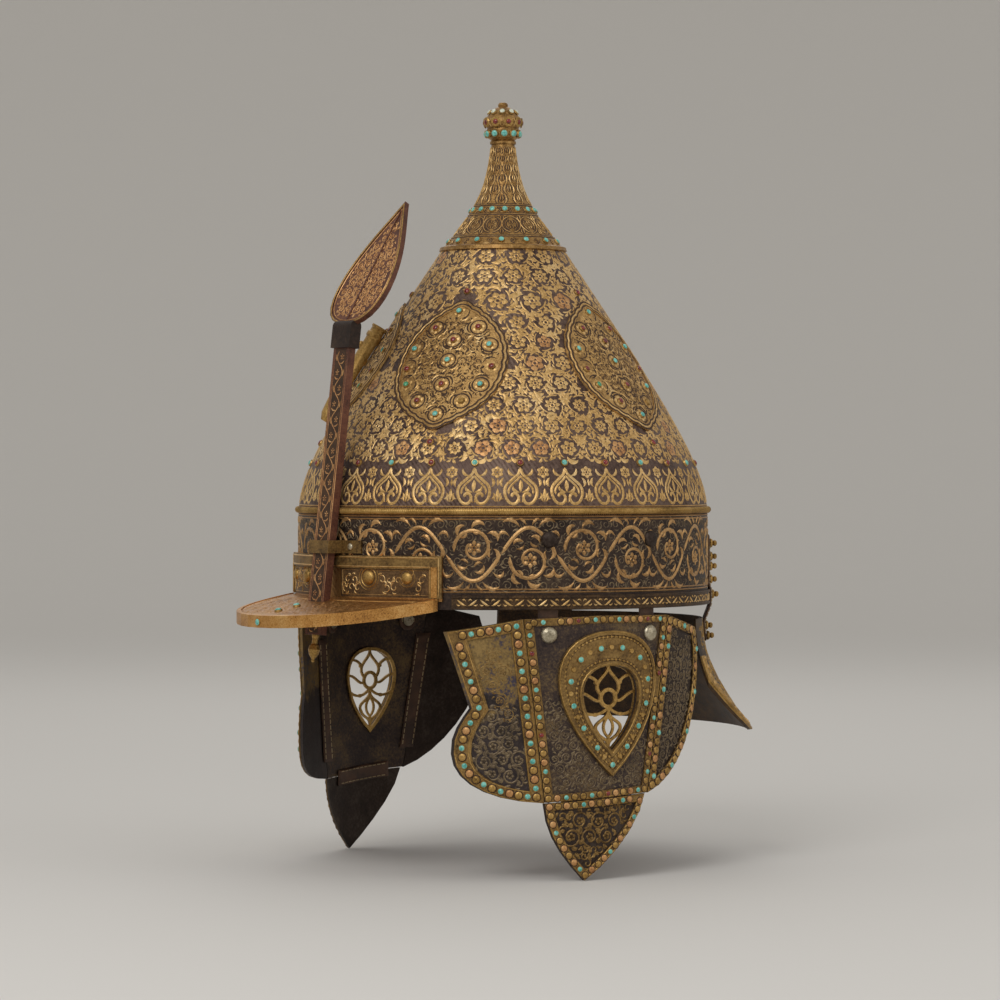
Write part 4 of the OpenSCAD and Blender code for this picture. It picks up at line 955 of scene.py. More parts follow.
def dressBand():
    middle, bay = (skullRun(band["low"]) + skullRun(band["high"])) / 2, scrollBay(math.pi * bowlR / band["bays"])
    turns = around(band["bays"])
    parts = [onSkull(bay, upright(turns[0::2], middle)),
             onSkull(flipped(bay, (1, -1, 1)), upright(turns[1::2], middle))]
    for z in (band["low"], band["low"] + band["edgeGap"], band["high"] - band["edgeGap"], band["high"]):
        parts.append(hoop(skullRun(z), 0.8, 0.35))
    makePiece("band_scroll", joined(parts), orangeGold)
    rng, spots = random.Random(band["seed"]), []
    tendril = joined([stem(spiralPoints(0, 0, 2.6, 0.6, -120, 330, 12), 0.55, 0.16),
                      *leaves([(1.6, -2.0, 3.2, -2.2, 4.2, -0.6, 3.4, 0.8, 1.1, 0.16),
                               (-1.6, 1.8, -3.2, 1.8, -3.8, 0.2, -3.0, -0.8, 1.0, 0.16)])])
    for row in range(band["tendrilRows"]):
        y = skullRun(band["firstRow"] + band["rowGap"] * row)
        for k, a in enumerate(around(band["tendrils"], 0.5 * (row % 2))):
            spots.append((a + rng.uniform(-0.004, 0.004), y, rng.uniform(0, 360), rng.uniform(0.85, 1.15), k % 2))
    makePiece("band_tendrils", onSkull(tendril, spots), greyGold)


dressBand()
print("band is dressed")

# rope moulding, by Geometry Nodes

rope = {"ringRadius": 116.45, "height": 53.3, "strandRadius": 1.5, "lobe": 0.42, "twists": 150, "steps": 1500}


def ropeTree(material):
    # a round line whose square section turns as it goes, so its corners wind like strands
    tree, given = newTree("ropeTree", {"Line": "Geometry", "Ring Radius": "Float", "Height": "Float",
                                       "Strand Radius": "Float", "Lobe": "Float", "Turns per Step": "Float",
                                       "Steps": "Int"})
    circle = addNode(tree, "GeometryNodeCurvePrimitiveCircle", {"Resolution": given["Steps"],
                                                                "Radius": given["Ring Radius"]})
    lift = addNode(tree, "ShaderNodeCombineXYZ", {"Z": given["Height"]})
    raisedLine = addNode(tree, "GeometryNodeTransform", {"Geometry": circle.outputs[0],
                                                         "Translation": lift.outputs[0]})
    index = addNode(tree, "GeometryNodeInputIndex")
    tilt = addNode(tree, "ShaderNodeMath", {0: index.outputs[0], 1: given["Turns per Step"]}, operation="MULTIPLY")
    tilted = addNode(tree, "GeometryNodeSetCurveTilt", {"Curve": raisedLine.outputs[0], "Tilt": tilt.outputs[0]})
    section = addNode(tree, "GeometryNodeCurvePrimitiveCircle", {"Resolution": 12, "Radius": given["Strand Radius"]})
    third = addNode(tree, "ShaderNodeMath", {0: index.outputs[0], 1: 3.0}, operation="MODULO")
    bulge = addNode(tree, "ShaderNodeMath", {0: third.outputs[0], 1: 1.5}, operation="LESS_THAN")
    grow = addNode(tree, "ShaderNodeMath", {0: bulge.outputs[0], 1: given["Lobe"]}, operation="MULTIPLY")
    spot = addNode(tree, "GeometryNodeInputPosition")
    away = addNode(tree, "ShaderNodeVectorMath", {0: spot.outputs[0]}, operation="NORMALIZE")
    push = addNode(tree, "ShaderNodeVectorMath", {0: away.outputs[0], "Scale": grow.outputs[0]}, operation="SCALE")
    lobed = addNode(tree, "GeometryNodeSetPosition", {"Geometry": section.outputs[0], "Offset": push.outputs[0]})
    solid = addNode(tree, "GeometryNodeCurveToMesh", {"Curve": tilted.outputs[0], "Profile Curve": lobed.outputs[0]})
    real = addNode(tree, "GeometryNodeRealizeInstances", {"Geometry": solid.outputs[0]})
    endTree(tree, real.outputs[0], material)
    return tree


def makeRope():
    piece = newObject("rope_moulding", bpy.data.meshes.new("rope_moulding"))
    applyTree(piece, ropeTree(giltCopper), {
        "Ring Radius": rope["ringRadius"] / 1000, "Height": rope["height"] / 1000,
        "Strand Radius": rope["strandRadius"] / 1000, "Lobe": rope["lobe"] / 1000,
        "Turns per Step": 2 * math.pi * rope["twists"] / rope["steps"], "Steps": rope["steps"]})
    facesOut(piece)
    settle(piece, "root", "gilt")


makeRope()
print("moulding is twisted")

# outlines and the fill inside them


def mirroredOutline(half):
    # the closed outline whose right half runs from one tip to the other
    return np.array(list(half) + [(-x, y) for x, y in half[-2:0:-1]])


def fineLine(points, step, closed=True):
    # the same line with no stretch longer than step
    p = np.asarray(points, float)
    out = []
    for a, b in zip(p, np.roll(p, -1, 0) if closed else p[1:]):
        n = max(1, int(math.ceil(math.hypot(*(b - a)) / step)))
        out += [a + (b - a) * k / n for k in range(n)]
    return np.array(out if closed else out + [p[-1]])


def insetLine(outline, depth):
    # the closed outline moved inwards, with mitred corners
    p = np.asarray(outline, float)
    edge = np.roll(p, -1, 0) - p
    edge /= np.hypot(*edge.T)[:, None]
    area = np.sum(p[:, 0] * np.roll(p[:, 1], -1) - p[:, 1] * np.roll(p[:, 0], -1))
    inward = np.stack([-edge[:, 1], edge[:, 0]], 1) * (1 if area > 0 else -1)
    before = np.roll(inward, 1, 0)
    return p + depth * (inward + before) / (1 + np.sum(inward * before, 1))[:, None]


def depthInside(x, y, outline):
    # distance to the outline, positive inside
    p = np.stack([np.asarray(x, float), np.asarray(y, float)], 1)[:, None, :]
    a = np.asarray(outline, float)[None]
    ab = np.roll(a, -1, 1) - a
    t = np.clip(np.sum((p - a) * ab, 2) / np.sum(ab * ab, 2), 0, 1)
    far = np.linalg.norm(p - a - t[..., None] * ab, axis=2).min(1)
    rise = np.where(np.abs(ab[..., 1]) < 1e-9, 1e-9, ab[..., 1])
    crossed = ((a[..., 1] > p[..., 1]) != (np.roll(a, -1, 1)[..., 1] > p[..., 1])) & (
        p[..., 0] < ab[..., 0] * (p[..., 1] - a[..., 1]) / rise + a[..., 0])
    return np.where(crossed.sum(1) % 2 == 1, far, -far)


def walk(line, step, closed=True, even=False):
    # points at equal distances along a line
    p = np.asarray(line, float)
    if closed:
        p = np.vstack([p, p[:1]])
    run = runOf(p)
    n = max(2, round(run[-1] / step))
    at = np.linspace(0, run[-1], n + n % 2 if even else n, endpoint=not closed)
    return np.stack([np.interp(at, run, p[:, 0]), np.interp(at, run, p[:, 1])], 1)


def rimLine(outline, depth, width, lift, place, base=0.0, step=4.0):
    # a closed stroke at an even depth inside the outline
    return placed(stem(fineLine(insetLine(outline, depth), step), width, lift, True), place, base)


def gridSpots(outline, pitch, margin, seed, holes=(), keepOut=None, jitter=0.12, scale=1.0):
    # a loose hexagonal spread inside the outline: turned by steps, away from the holes (x, y, r)
    rng, p = random.Random(seed), np.asarray(outline, float)
    (x0, y0), (x1, y1) = p.min(0), p.max(0)
    spots, y, row = [], y0, 0
    while y < y1:
        x = x0 + (0.5 * pitch if row % 2 else 0)
        while x < x1:
            spots.append((x + rng.uniform(-jitter, jitter) * pitch, y + rng.uniform(-jitter, jitter) * pitch))
            x += pitch
        y, row = y + 0.866 * pitch, row + 1
    xs, ys = np.array(spots).T
    keep = depthInside(xs, ys, p) > margin
    if keepOut is not None:
        keep &= depthInside(xs, ys, keepOut) < -margin
    for hx, hy, hr in holes:
        keep &= np.hypot(xs - hx, ys - hy) > hr + margin
    return [(x, y, 60 * rng.randrange(6) + rng.uniform(-12, 12), scale * rng.uniform(0.9, 1.08), rng.randrange(2))
            for x, y, k in zip(xs, ys, keep) if k]


def holesAt(spots, radius):
    return [(s[0], s[1], radius) for s in spots]


# medallions: stones by kind as across and up from the middle, each in a flower between curled leaves

medal = {"plateLift": 0.7, "edgeLift": 1.2, "edgeWidth": 4.0, "rise": 31.94, "footR": 78.565, "middle": (-0.7, 2.1),
         "cusp": 7.4, "bow": 0.8,
         "turquoise": [(-1.2, 35.0), (-23.9, 11.9), (20.8, 13.9), (-0.7, 2.1), (21.4, -12.6), (-0.1, -33.0)],
         "green": [(-23.2, -12.1)],
         "ruby": [(-13.3, 24.4), (12.3, 24.7), (-0.2, 15.4), (-25.6, -1.4), (25.0, -0.1), (-0.7, -13.7),
                  (-13.3, -23.9)],
         "empty": [(13.0, -24.0)], "outside": [(0, 49.0), (0, -50.0)],
         "umberLeaves": [(0.6, -5.2, 4.6, -6.0, 7.2, -2.6, 5.6, 1.0, 1.5, 0.16, 8),
                         (3.4, 3.4, 5.2, 5.6, 3.4, 8.0, 1.0, 7.6, 1.4, 0.16, 7)],
         "goldLeaves": [(0.4, -5.6, 3.4, -7.4, 6.6, -5.4, 6.4, -1.6, 1.6, 0.2, 8)],
         "looseLeaf": [(-2.4, -1.0, -1.0, 1.6, 1.4, 1.8, 2.6, -0.4, 1.7, 0.18, 7)]}
medalSpots = [spot for key in ("turquoise", "green", "ruby", "empty") for spot in medal[key]]
quarter = medalEdge(9)
medalOutline = mirroredOutline([(w, u) for u, w in quarter] + [(w, -u) for u, w in quarter[-2::-1]])


def medalSurface(turn, flip):
    # across and up on the medallion's own plane, dropped square onto the dome
    rise, c, s = math.radians(medal["rise"]), math.cos(turn), math.sin(turn)

    def wallAt(z):
        return np.interp(z, skullLine[:, 1], skullLine[:, 0])

    def place(x, y, h):
        x, y, h = np.asarray(x, float) * flip, np.asarray(y, float), np.asarray(h, float)
        low, high = np.full(x.shape, -40.0), np.full(x.shape, 40.0)
        for _ in range(36):
            t = (low + high) / 2
            r = medal["footR"] - y * math.sin(rise) + t * math.cos(rise)
            z = form["medalZ"] + y * math.cos(rise) + t * math.sin(rise)
            lean = np.cos(np.arctan(wallAt(z - 0.5) - wallAt(z + 0.5)))
            over = (np.hypot(r, x) - wallAt(z)) * lean > h
            high, low = np.where(over, t, high), np.where(over, low, t)
        return np.stack([r * c - x * s, r * s + x * c, z], axis=-1)
    return place


def turned(part, spot):
    return scatter(part, [spot], lambda x, y, h: np.stack([x, y, h], axis=-1))


def medalDrawing():
    # brown lines, and the gold that they bound, as far as they stay inside the edge
    inside = insetLine(medalOutline, medal["edgeWidth"] + 0.3)
    umber, gold, (mx, my) = [], [], medal["middle"]
    for x, y in medalSpots:
        out = math.degrees(math.atan2(y - my, x - mx)) - 90 if math.hypot(x - mx, y - my) > 3 else 0
        umber.append(turned(ring(4.6, 1.1, 18, 0.16), (x, y, 0, 1, 0)))
        for m in (0, 1):
            umber += [turned(part, (x, y, out, 1, m)) for part in leaves(medal["umberLeaves"])]
            gold += [turned(part, (x, y, out, 1, m)) for part in leaves(medal["goldLeaves"])]
    holes = holesAt(medalSpots, 3.9)
    curl, loose = smallCurl(3.2, 0.14, 1.5), leaves(medal["looseLeaf"])[0]
    umber += [turned(curl, spot) for spot in gridSpots(inside, 4.3, 1.6, 7, holes, scale=0.72)]
    gold += [turned(loose, spot) for spot in gridSpots(inside, 4.6, 1.4, 9, holes, jitter=0.3, scale=0.78)]
    return [[part for part in parts if depthInside(*part[0][:, :2].T, inside).min() > -over]
            for parts, over in ((umber, 1.2), (gold, 0.6))]


def cuspedLine(depth):
    # a line round the outline made of shallow outward arcs
    feet = walk(insetLine(medalOutline, depth), medal["cusp"], even=True)
    centre, out = feet.mean(0), []
    for a, b in zip(feet, np.roll(feet, -1, 0)):
        across = (b - a) / np.hypot(*(b - a))
        outward = np.array([across[1], -across[0]])
        if np.dot(outward, (a + b) / 2 - centre) < 0:
            outward = -outward
        out += [a + (b - a) * t + outward * medal["bow"] * 4 * t * (1 - t) for t in (0.0, 0.25, 0.5, 0.75)]
    return np.array(out)


def dressMedallions():
    umber, gold = medalDrawing()
    petals, base = rosette(3.9, 6, 0.4, 0.56, 0.3), medal["plateLift"]
    edges = [stem(cuspedLine(depth), 1.2, 0.14, True) for depth in (0.9, 3.1)]
    ridge = [stem(cuspedLine(2.0), 1.0, 0.3, True)]
    for key, bearing in medals.items():
        name, flip = "medallion_" + key, -1 if key.endswith("right") else 1
        place = medalSurface(math.radians(bearing - 90), flip)

        def laid(*groups):
            part = joined([placed(p, place, lift) for parts, lift in groups for p in parts])
            return flipped(part) if flip < 0 else part
        flowers = [shifted(petals, x, y) for x, y in medalSpots]
        makePiece(name + "_lines", laid((umber, base), (edges, medal["edgeLift"])), umberLine)
        makePiece(name + "_drawing", laid((gold, base), (flowers, base + 0.05), (ridge, medal["edgeLift"])),
                  goldLeaf)
        studs(name + "_collets", onSurface(place, medalSpots, base + 0.15), "disc", 2.0, 0.9, giltCopper, sides=12)
        for kind, stone in (("turquoise", turquoise), ("green", greenGlass), ("ruby", ruby)):
            setStones(f"{name}_{kind}", onSurface(place, medal[kind], base + 0.3), stone, 0.95, collet=None)
        setStones(name + "_outer", onSurface(place, medal["outside"], 0.1), ruby)


dressMedallions()
print("medallions are set")

# crown cap and finial

crown = {"rows": {"low": (205.0, 204.8, 14), "high": (223.0, 223.1, 16)},  # height of stones, of curls, count
         "cartouches": 14, "cartoucheZ": 214.0, "ovalSize": 27.0,
         "lines": ((201.9, 0.9), (207.6, 0.7), (220.4, 0.7), (225.8, 0.7)), "scalesFrom": 229.4, "scalesTo": 259.5}
# each finial row: height, count, size of stone, stone, turn in steps
finial = {"foot": 261.0, "height": 24.0, "radius": 10.3,
          "profile": [(0.72, 0.0), (0.72, 0.06), (0.64, 0.09), (0.82, 0.15), (0.9, 0.24), (0.9, 0.33), (0.86, 0.38),
                      (0.97, 0.45), (1.0, 0.52), (0.97, 0.6), (0.86, 0.67), (0.8, 0.7), (0.66, 0.79), (0.42, 0.86),
                      (0.26, 0.89)],
          "rows": {"low": (266.8, 11, 1.12, turquoise, 0), "middle": (273.3, 9, 0.9, ruby, 0.5),
                   "upper": (279.0, 9, 0.92, paleStone, 0)}}


def crownDrawing(grow, lift):
    # rings, linked circles and the neck's leaf scales; grow widens every stroke for the outline below the gold
    def blades(*rows):
        return [part for row in rows for s in (1, -1) for part in leaves([(*row, lift)], sideways(s))]

    def line(points, width):
        return stem(points, width + grow, lift)
    y, n = skullRun(crown["cartoucheZ"]), crown["cartouches"]
    oval = [line(spiralPoints(0, 0, r, r, a, a + sweep, count) * [squash, 1], wide)
            for r, starts, sweep, count, squash, wide in (
                (6.3, (-88, 92), 176, 14, 0.94, 1.0), (4.4, (-75, 105), 150, 10, 0.86, 0.6)) for a in starts]
    oval += blades((0, 0.4, 1.2, 1.4, 1.3, 2.6, 0, 3.6, 1.0 + grow),
                   (0, -0.4, 1.2, -1.4, 1.3, -2.6, 0, -3.6, 1.0 + grow))
    oval.append(line([(-2.6, 0), (0, 0), (2.6, 0)], 0.8))
    between = joined(blades((0, -2.2, 1.1, -1.0, 1.1, 1.0, 0, 2.2, 0.9 + grow)))
    parts = [onSkull(joined(oval), upright(around(n), y, float(skullRadius(y)) / crown["ovalSize"])),
             onSkull(between, [(a, y + d, 0, 1, 0) for a in around(n, 0.5) for d in (-5.0, 5.0)])]
    parts += [hoop(skullRun(z), w + grow, lift, 110) for z, w in crown["lines"]]
    curl = line(spiralPoints(0, 0, 1.7, 0.5, -120, 200, 9), 0.55)
    for _, z, count in crown["rows"].values():
        parts.append(onSkull(curl, [(a, skullRun(z), 0, 1, k % 2) for k, a in enumerate(around(count))]))
    # leaf scales that narrow with the neck, each a pointed loop with a bud in it
    scale = blades((0, -3.6, 3.0, -2.8, 3.4, 0.6, 0, 3.9, 1.35 + grow),
                   (0, -2.0, 0.9, -0.6, 0.8, 1.0, 0, 2.2, 0.9 + grow))
    spots, row, y, top = [], 0, skullRun(crown["scalesFrom"]), skullRun(crown["scalesTo"])
    while y < top:
        r = float(skullRadius(y))
        count = 14 if r > 14.5 else 9
        size = min(2 * math.pi * r / count / 6.0, 1.2)
        spots += upright(around(count, 0.5 * (row % 2)), y, size)
        y, row = y + 4.9 * size + 0.4, row + 1
    return joined(parts + [onSkull(joined(scale), spots)])


def dressCrown():
    makePiece("crown_outline", crownDrawing(1.6, 0.22), umberLine)
    makePiece("crown_drawing", crownDrawing(0.1, 0.44), goldLeaf)
    for row, (z, _, count) in crown["rows"].items():
        spots = [(a, skullRun(z)) for a in around(count, 0.5)]
        setStones(f"crown_{row}", onSurface(skullPlace, spots, 0.1), turquoise, 0.95)


def dressFinial():
    line = np.array([[r * finial["radius"], finial["foot"] + h * finial["height"]] for r, h in finial["profile"]])
    place, radius, runAt = turnedSurface(line)
    for name, (z, count, size, stone, turn) in finial["rows"].items():
        spots = onSurface(place, [(a, runAt(z)) for a in around(count, turn)], 0.05)
        if name == "middle":
            studs("finial_middle_mounts", spots, "disc", 3.1, 0.6, giltCopper, sides=12)
        setStones(f"finial_{name}", spots, stone, size)
    petal = joined([part for s in (1, -1)
                    for part in leaves([(0, -2.8, 1.5, -1.8, 1.4, 0.8, 0, 2.6, 1.0)], sideways(s))])
    z, count = finial["rows"]["middle"][:2]
    makePiece("finial_drawing", scatter(petal, upright(around(count, 1), runAt(z), 1.05), place, radius), goldLeaf)


dressCrown()
dressFinial()
print("crown is dressed")

# brim border, visor and peak

brim = {"wallR": 117.3, "count": 116, "height": 4.0, "visorGap": 3.4, "straps": (145, 215), "strapHalf": 5.2}
visor = {"flangeR": 117.95, "trimR": 119.2, "halfAngle": 36.8, "low": 6.0, "high": 29.0, "trimW": 7.0, "gap": 0.4,
         "rosetteAngle": 14.6, "rivetAngle": 26.8, "rivetZ": 17.0, "barHalf": 8.4}
# the peak's plan: its front curve, its corners, and its inner edge along the flange's foot
peak = {"half": 70.03, "frontFlat": 0.54, "frontSwell": 0.94, "swellY": 27.0, "cornerY": -99.98, "endX": 1.5,
        "endY": -87.98, "footR": 121.6, "footAngle": 33.2, "edgeDepth": 3.6, "rimFoot": -6.0,
        "slot": [(0, -127.2, 12.0), (0, -132.0, 9.0)], "stones": (-141.5, -153.5)}


def dressBrim():
    wall, full = drum(brim["wallR"]), 2 * math.pi * brim["wallR"]
    clear = full * (visor["halfAngle"] + brim["visorGap"]) / 360
    unit = joined(leaves([(-2.9, -1.6, -1.4, -2.0, 1.0, 0.4, 2.4, 1.7, 1.4, 0.25, 6),
                          (-2.6, 0.6, -2.2, 1.9, -0.9, 2.0, -0.4, 1.1, 1.0, 0.25, 5),
                          (2.6, -0.6, 2.2, -1.9, 0.9, -2.0, 0.4, -1.1, 1.0, 0.25, 5)]))
    spots = []
    for k, a in enumerate(around(brim["count"], 0.5)):
        x = a * brim["wallR"]
        atStrap = any(abs(math.degrees(a) - s) < brim["strapHalf"] for s in brim["straps"])
        if clear < x < full - clear and not atStrap:
            spots.append((x, brim["height"], 0, 1, k % 2))
    makePiece("brim_drawing", scatter(unit, spots, wall), goldLeaf)


def dressVisor():
    flange, trim, z = drum(visor["flangeR"]), drum(visor["trimR"]), visor["rivetZ"]
    w, rose, rivet = (math.radians(visor[key]) * visor["flangeR"]
                      for key in ("halfAngle", "rosetteAngle", "rivetAngle"))
    wide, low, high, bar, gap = visor["trimW"], visor["low"], visor["high"], visor["barHalf"], visor["gap"]
    gold, grounds, rosettes = [], [], []
    for s in (1, -1):
        near, far, up = bar + 1, w - wide - gap, high - wide - gap
        panel = np.array([(s * near, low + 1.2), (s * far, low + 1.2), (s * far, up), (s * near, up)])
        holes = [(s * rose, z - 2.0, 6.2), (s * rivet, z - 2.0, 3.4)]
        spots = gridSpots(panel, 5.0, 1.7, 3 + s, holes, jitter=0.08)
        gold += [scatter(smallCurl(3.6, 0.32, 1.5), spots, flange), rimLine(panel, 0.5, 0.6, 0.3, flange)]
        rosettes += [placed(ring(r, width, count, lift, s * x, z), flange) for r, width, count, lift, x in (
            (5.2, 1.1, 24, 0.5, rose), (6.9, 0.6, 24, 0.35, rose), (4.9, 0.7, 20, 0.35, rivet))]
        grounds.append(slab(*sorted((s * bar, s * (w - wide))), low + gap, high - wide, -0.03, 0.12, flange))
    makePiece("visor_flange_drawing", joined(gold), goldLeaf)
    makePiece("visor_rosettes", joined(rosettes), giltCopper)
    makePiece("visor_flange_ground", joined(grounds), wornBrass, slotName="dark_gilt")
    lines = [fineLine([(d - w, low + 0.8), (d - w, high - d), (w - d, high - d), (w - d, low + 0.8)], 3, False)
             for d in (1.0, wide - 1.0)]
    makePiece("visor_trim_lines", placed(joined([stem(line, 0.7, 0.3) for line in lines]), trim), goldLeaf)
    # painted highlight: a slab of bright gilt on each end of the trim, lighter than the dark-gilt trim because light
    # falls on the ends
    ends = [slab(s * (w - wide / 2) - 1.7, s * (w - wide / 2) + 1.7, low + 0.6, high - wide + 1.0, -0.03, 0.35, trim)
            for s in (1, -1)]
    makePiece("visor_trim_ends", joined(ends), rimGilt)


def peakOutline():
    half, reach = peak["half"], form["peakReach"]
    right = list(cubic([[0, -reach], [peak["frontFlat"] * half, -reach],
                        [peak["frontSwell"] * half, peak["swellY"] - reach], [half, peak["cornerY"]]], 24))
    right.append((half - peak["endX"], peak["endY"]))
    turns = np.radians(np.linspace(peak["footAngle"], -peak["footAngle"], 21))
    foot = [(peak["footR"] * math.sin(a), -peak["footR"] * math.cos(a)) for a in turns]
    return np.array(right + foot + [(-x, y) for x, y in right[:0:-1]])


def rimBelow(outline):
    # a bright line along the foot of the turned-down rim, as a closed ridge
    front = [p for p in outline if math.hypot(*p) > peak["footR"] + 0.2]
    edge = fineLine(np.array([p for p in front if p[0] < -0.01] + [p for p in front if p[0] > -0.01]), 2.5, False)
    along = np.gradient(edge, axis=0)
    away = np.stack([along[:, 1], -along[:, 0]], 1) / np.hypot(*along.T)[:, None]
    away *= np.sign((away * (edge - [0, -100])).sum(1))[:, None]
    n = len(edge)
    verts = np.vstack([peakPlace(*(edge + away * d).T, np.full(n, peak["rimFoot"] + up))
                       for d, up in ((-0.1, 0.0), (0.45, 0.5), (-0.1, 1.0))])
    faces = [(a * n + i, b * n + i, b * n + i + 1, a * n + i + 1)
             for i in range(n - 1) for a, b in ((0, 1), (1, 2), (2, 0))]
    return verts, faces + [(2 * n, n, 0), (n - 1, 2 * n - 1, 3 * n - 1)]


def dressPeak():
    outline, slot = peakOutline(), peak["slot"]
    inner = insetLine(outline, peak["edgeDepth"])
    knots = gridSpots(inner, 9.4, 4.4, 21, slot, jitter=0.06, scale=0.98)
    curls = gridSpots(inner, 4.4, 1.9, 22, holesAt(knots, 4.3) + slot, jitter=0.15, scale=0.8)
    soft = [scatter(scrollKnot(5.0, 0.1), knots, peakPlace), scatter(smallCurl(2.4, 0.1), curls, peakPlace)]
    makePiece("peak_drawing", joined(soft), peakGilt)
    makePiece("peak_edge", rimLine(outline, peak["edgeDepth"], 0.9, 0.35, peakPlace, step=3), rimGilt)
    facesOut(makePiece("peak_rim_line", rimBelow(outline), goldLeaf))
    tip = peakPlace(np.zeros(1), np.array([-form["peakReach"]]), np.array([peak["rimFoot"] / 2]))[0]
    spots = onSurface(peakPlace, [(0, y) for y in peak["stones"]], 0.1) + [(tip, np.array([0.0, -1.0, 0.0]))]
    setStones("peak", spots, turquoise, 1.1)


dressBrim()
dressVisor()
dressPeak()
print("visor is dressed")

# nasal: vine up the bar, knots of vine on both faces of the leaf

nasal = {"low": -14.0, "high": 143.4, "bends": 18, "sway": 2.9, "foot": -2.0, "bellyW": 0.5, "bellyL": 0.36,
         "lines": ((6.7, 0.8, 0.25), (5.3, 0.5, 0.2))}


def leaned(originAlong, lean, face, back=False):
    # a flat face on the bar's line or on the leaf; face is the distance from the middle plane
    a, b = math.radians(form["barLean"]), math.radians(lean)
    foot = np.array([0, -form["barY"], 0.0]) + originAlong * np.array([0, math.sin(a), math.cos(a)])
    up, out = np.array([0, math.sin(b), math.cos(b)]), np.array([0, -math.cos(b), math.sin(b)])
    s = -1 if back else 1
    origin = foot + s * face * out

    def place(x, y, h):
        return origin + x[:, None] * [s, 0.0, 0.0] + y[:, None] * up + (s * h)[:, None] * out
    return place


def dressBar():
    front, low, high = leaned(0.0, form["barLean"], form["barT"] / 2), nasal["low"], nasal["high"]
    gold = [stem([(s * x, low), (s * x, (low + high) / 2), (s * x, high)], wide, lift)
            for s in (1, -1) for x, wide, lift in nasal["lines"]]
    # a vine that waves up the bar, with two leaves and a small flower in every bend
    pitch, ys = (high - low) / nasal["bends"], np.linspace(low + 1, high - 1, nasal["bends"] * 10)
    gold.append(stem(np.stack([nasal["sway"] * np.sin((ys - low) * math.pi / pitch), ys], 1), 1.25, 0.26))
    for k in range(nasal["bends"]):
        y, m = low + (k + 0.5) * pitch, 1 if k % 2 == 0 else -1
        if low + 3 < y < high - 3:
            gold.append(shifted(rosette(1.95, 5, lift=0.26), -1.7 * m, y))
            gold += leaves([(2.6, -2.4, 3.9, -2.0, 4.3, 0.4, 3.7, 2.0, 1.9, 0.25),
                            (0.6, -3.4, -1.4, -4.2, -3.4, -3.6, -3.9, -1.8, 1.8, 0.25)], lambda u, v: (m * u, y + v))
    makePiece("nasal_bar_drawing", placed(joined(gold), front), roseGold, "nasal")
    makePiece("nasal_bar_ground", slab(-4.9, 4.9, low, high, -0.03, 0.1, front, 2), umberLine, "nasal", "nasal")


def dressLeaf():
    wide, long, foot = form["leafW"], form["leafL"], nasal["foot"]
    belly = [nasal["bellyW"] * wide, nasal["bellyL"] * long]
    low = cubic([[0, foot], [0.42 * wide, foot], [0.56 * wide, 0.14 * long], belly], 9)
    high = cubic([belly, [0.44 * wide, 0.6 * long], [0.16 * wide, 0.82 * long], [0, long]], 13)
    outline = mirroredOutline(np.vstack([low, high[1:]]))
    inner = insetLine(outline, 3.6)
    knots = gridSpots(inner, 6.9, 3.0, 31, jitter=0.07)
    fill = gridSpots(inner, 3.3, 1.3, 32, holesAt(knots, 3.1), jitter=0.15)
    for back, name in ((False, "nasal_leaf_front"), (True, "nasal_leaf_back")):
        along, lean, half = form["barUp"] + form["leafFoot"], form["leafLean"], form["leafT"] / 2
        face, edge = leaned(along, lean, half, back), leaned(along, lean, half + 0.5, back)
        gold = [scatter(scrollKnot(3.9, 0.24, 1.7), knots, face), scatter(smallCurl(2.2, 0.22, 1.5), fill, face),
                rimLine(outline, 2.6, 0.7, 0.3, face)]
        makePiece(name + "_drawing", joined(gold), roseGold, "nasal")
        makePiece(name + "_edge", rimLine(outline, 0.8, 1.2, 0.3, edge), giltCopper, "nasal")


dressBar()
dressLeaf()
print("nasal is dressed")

# cheek pieces, by arc length and height on the plates' cylinder; the right side mirrors the left
# each plate: its outline, its border's width and beads, then its knots and the curls between them.
# knots and curls are (pitch, margin, seed, jitter), their shapes (size, lift, boldness), and they stay
# below a height or behind an arc length where the gilding is kept

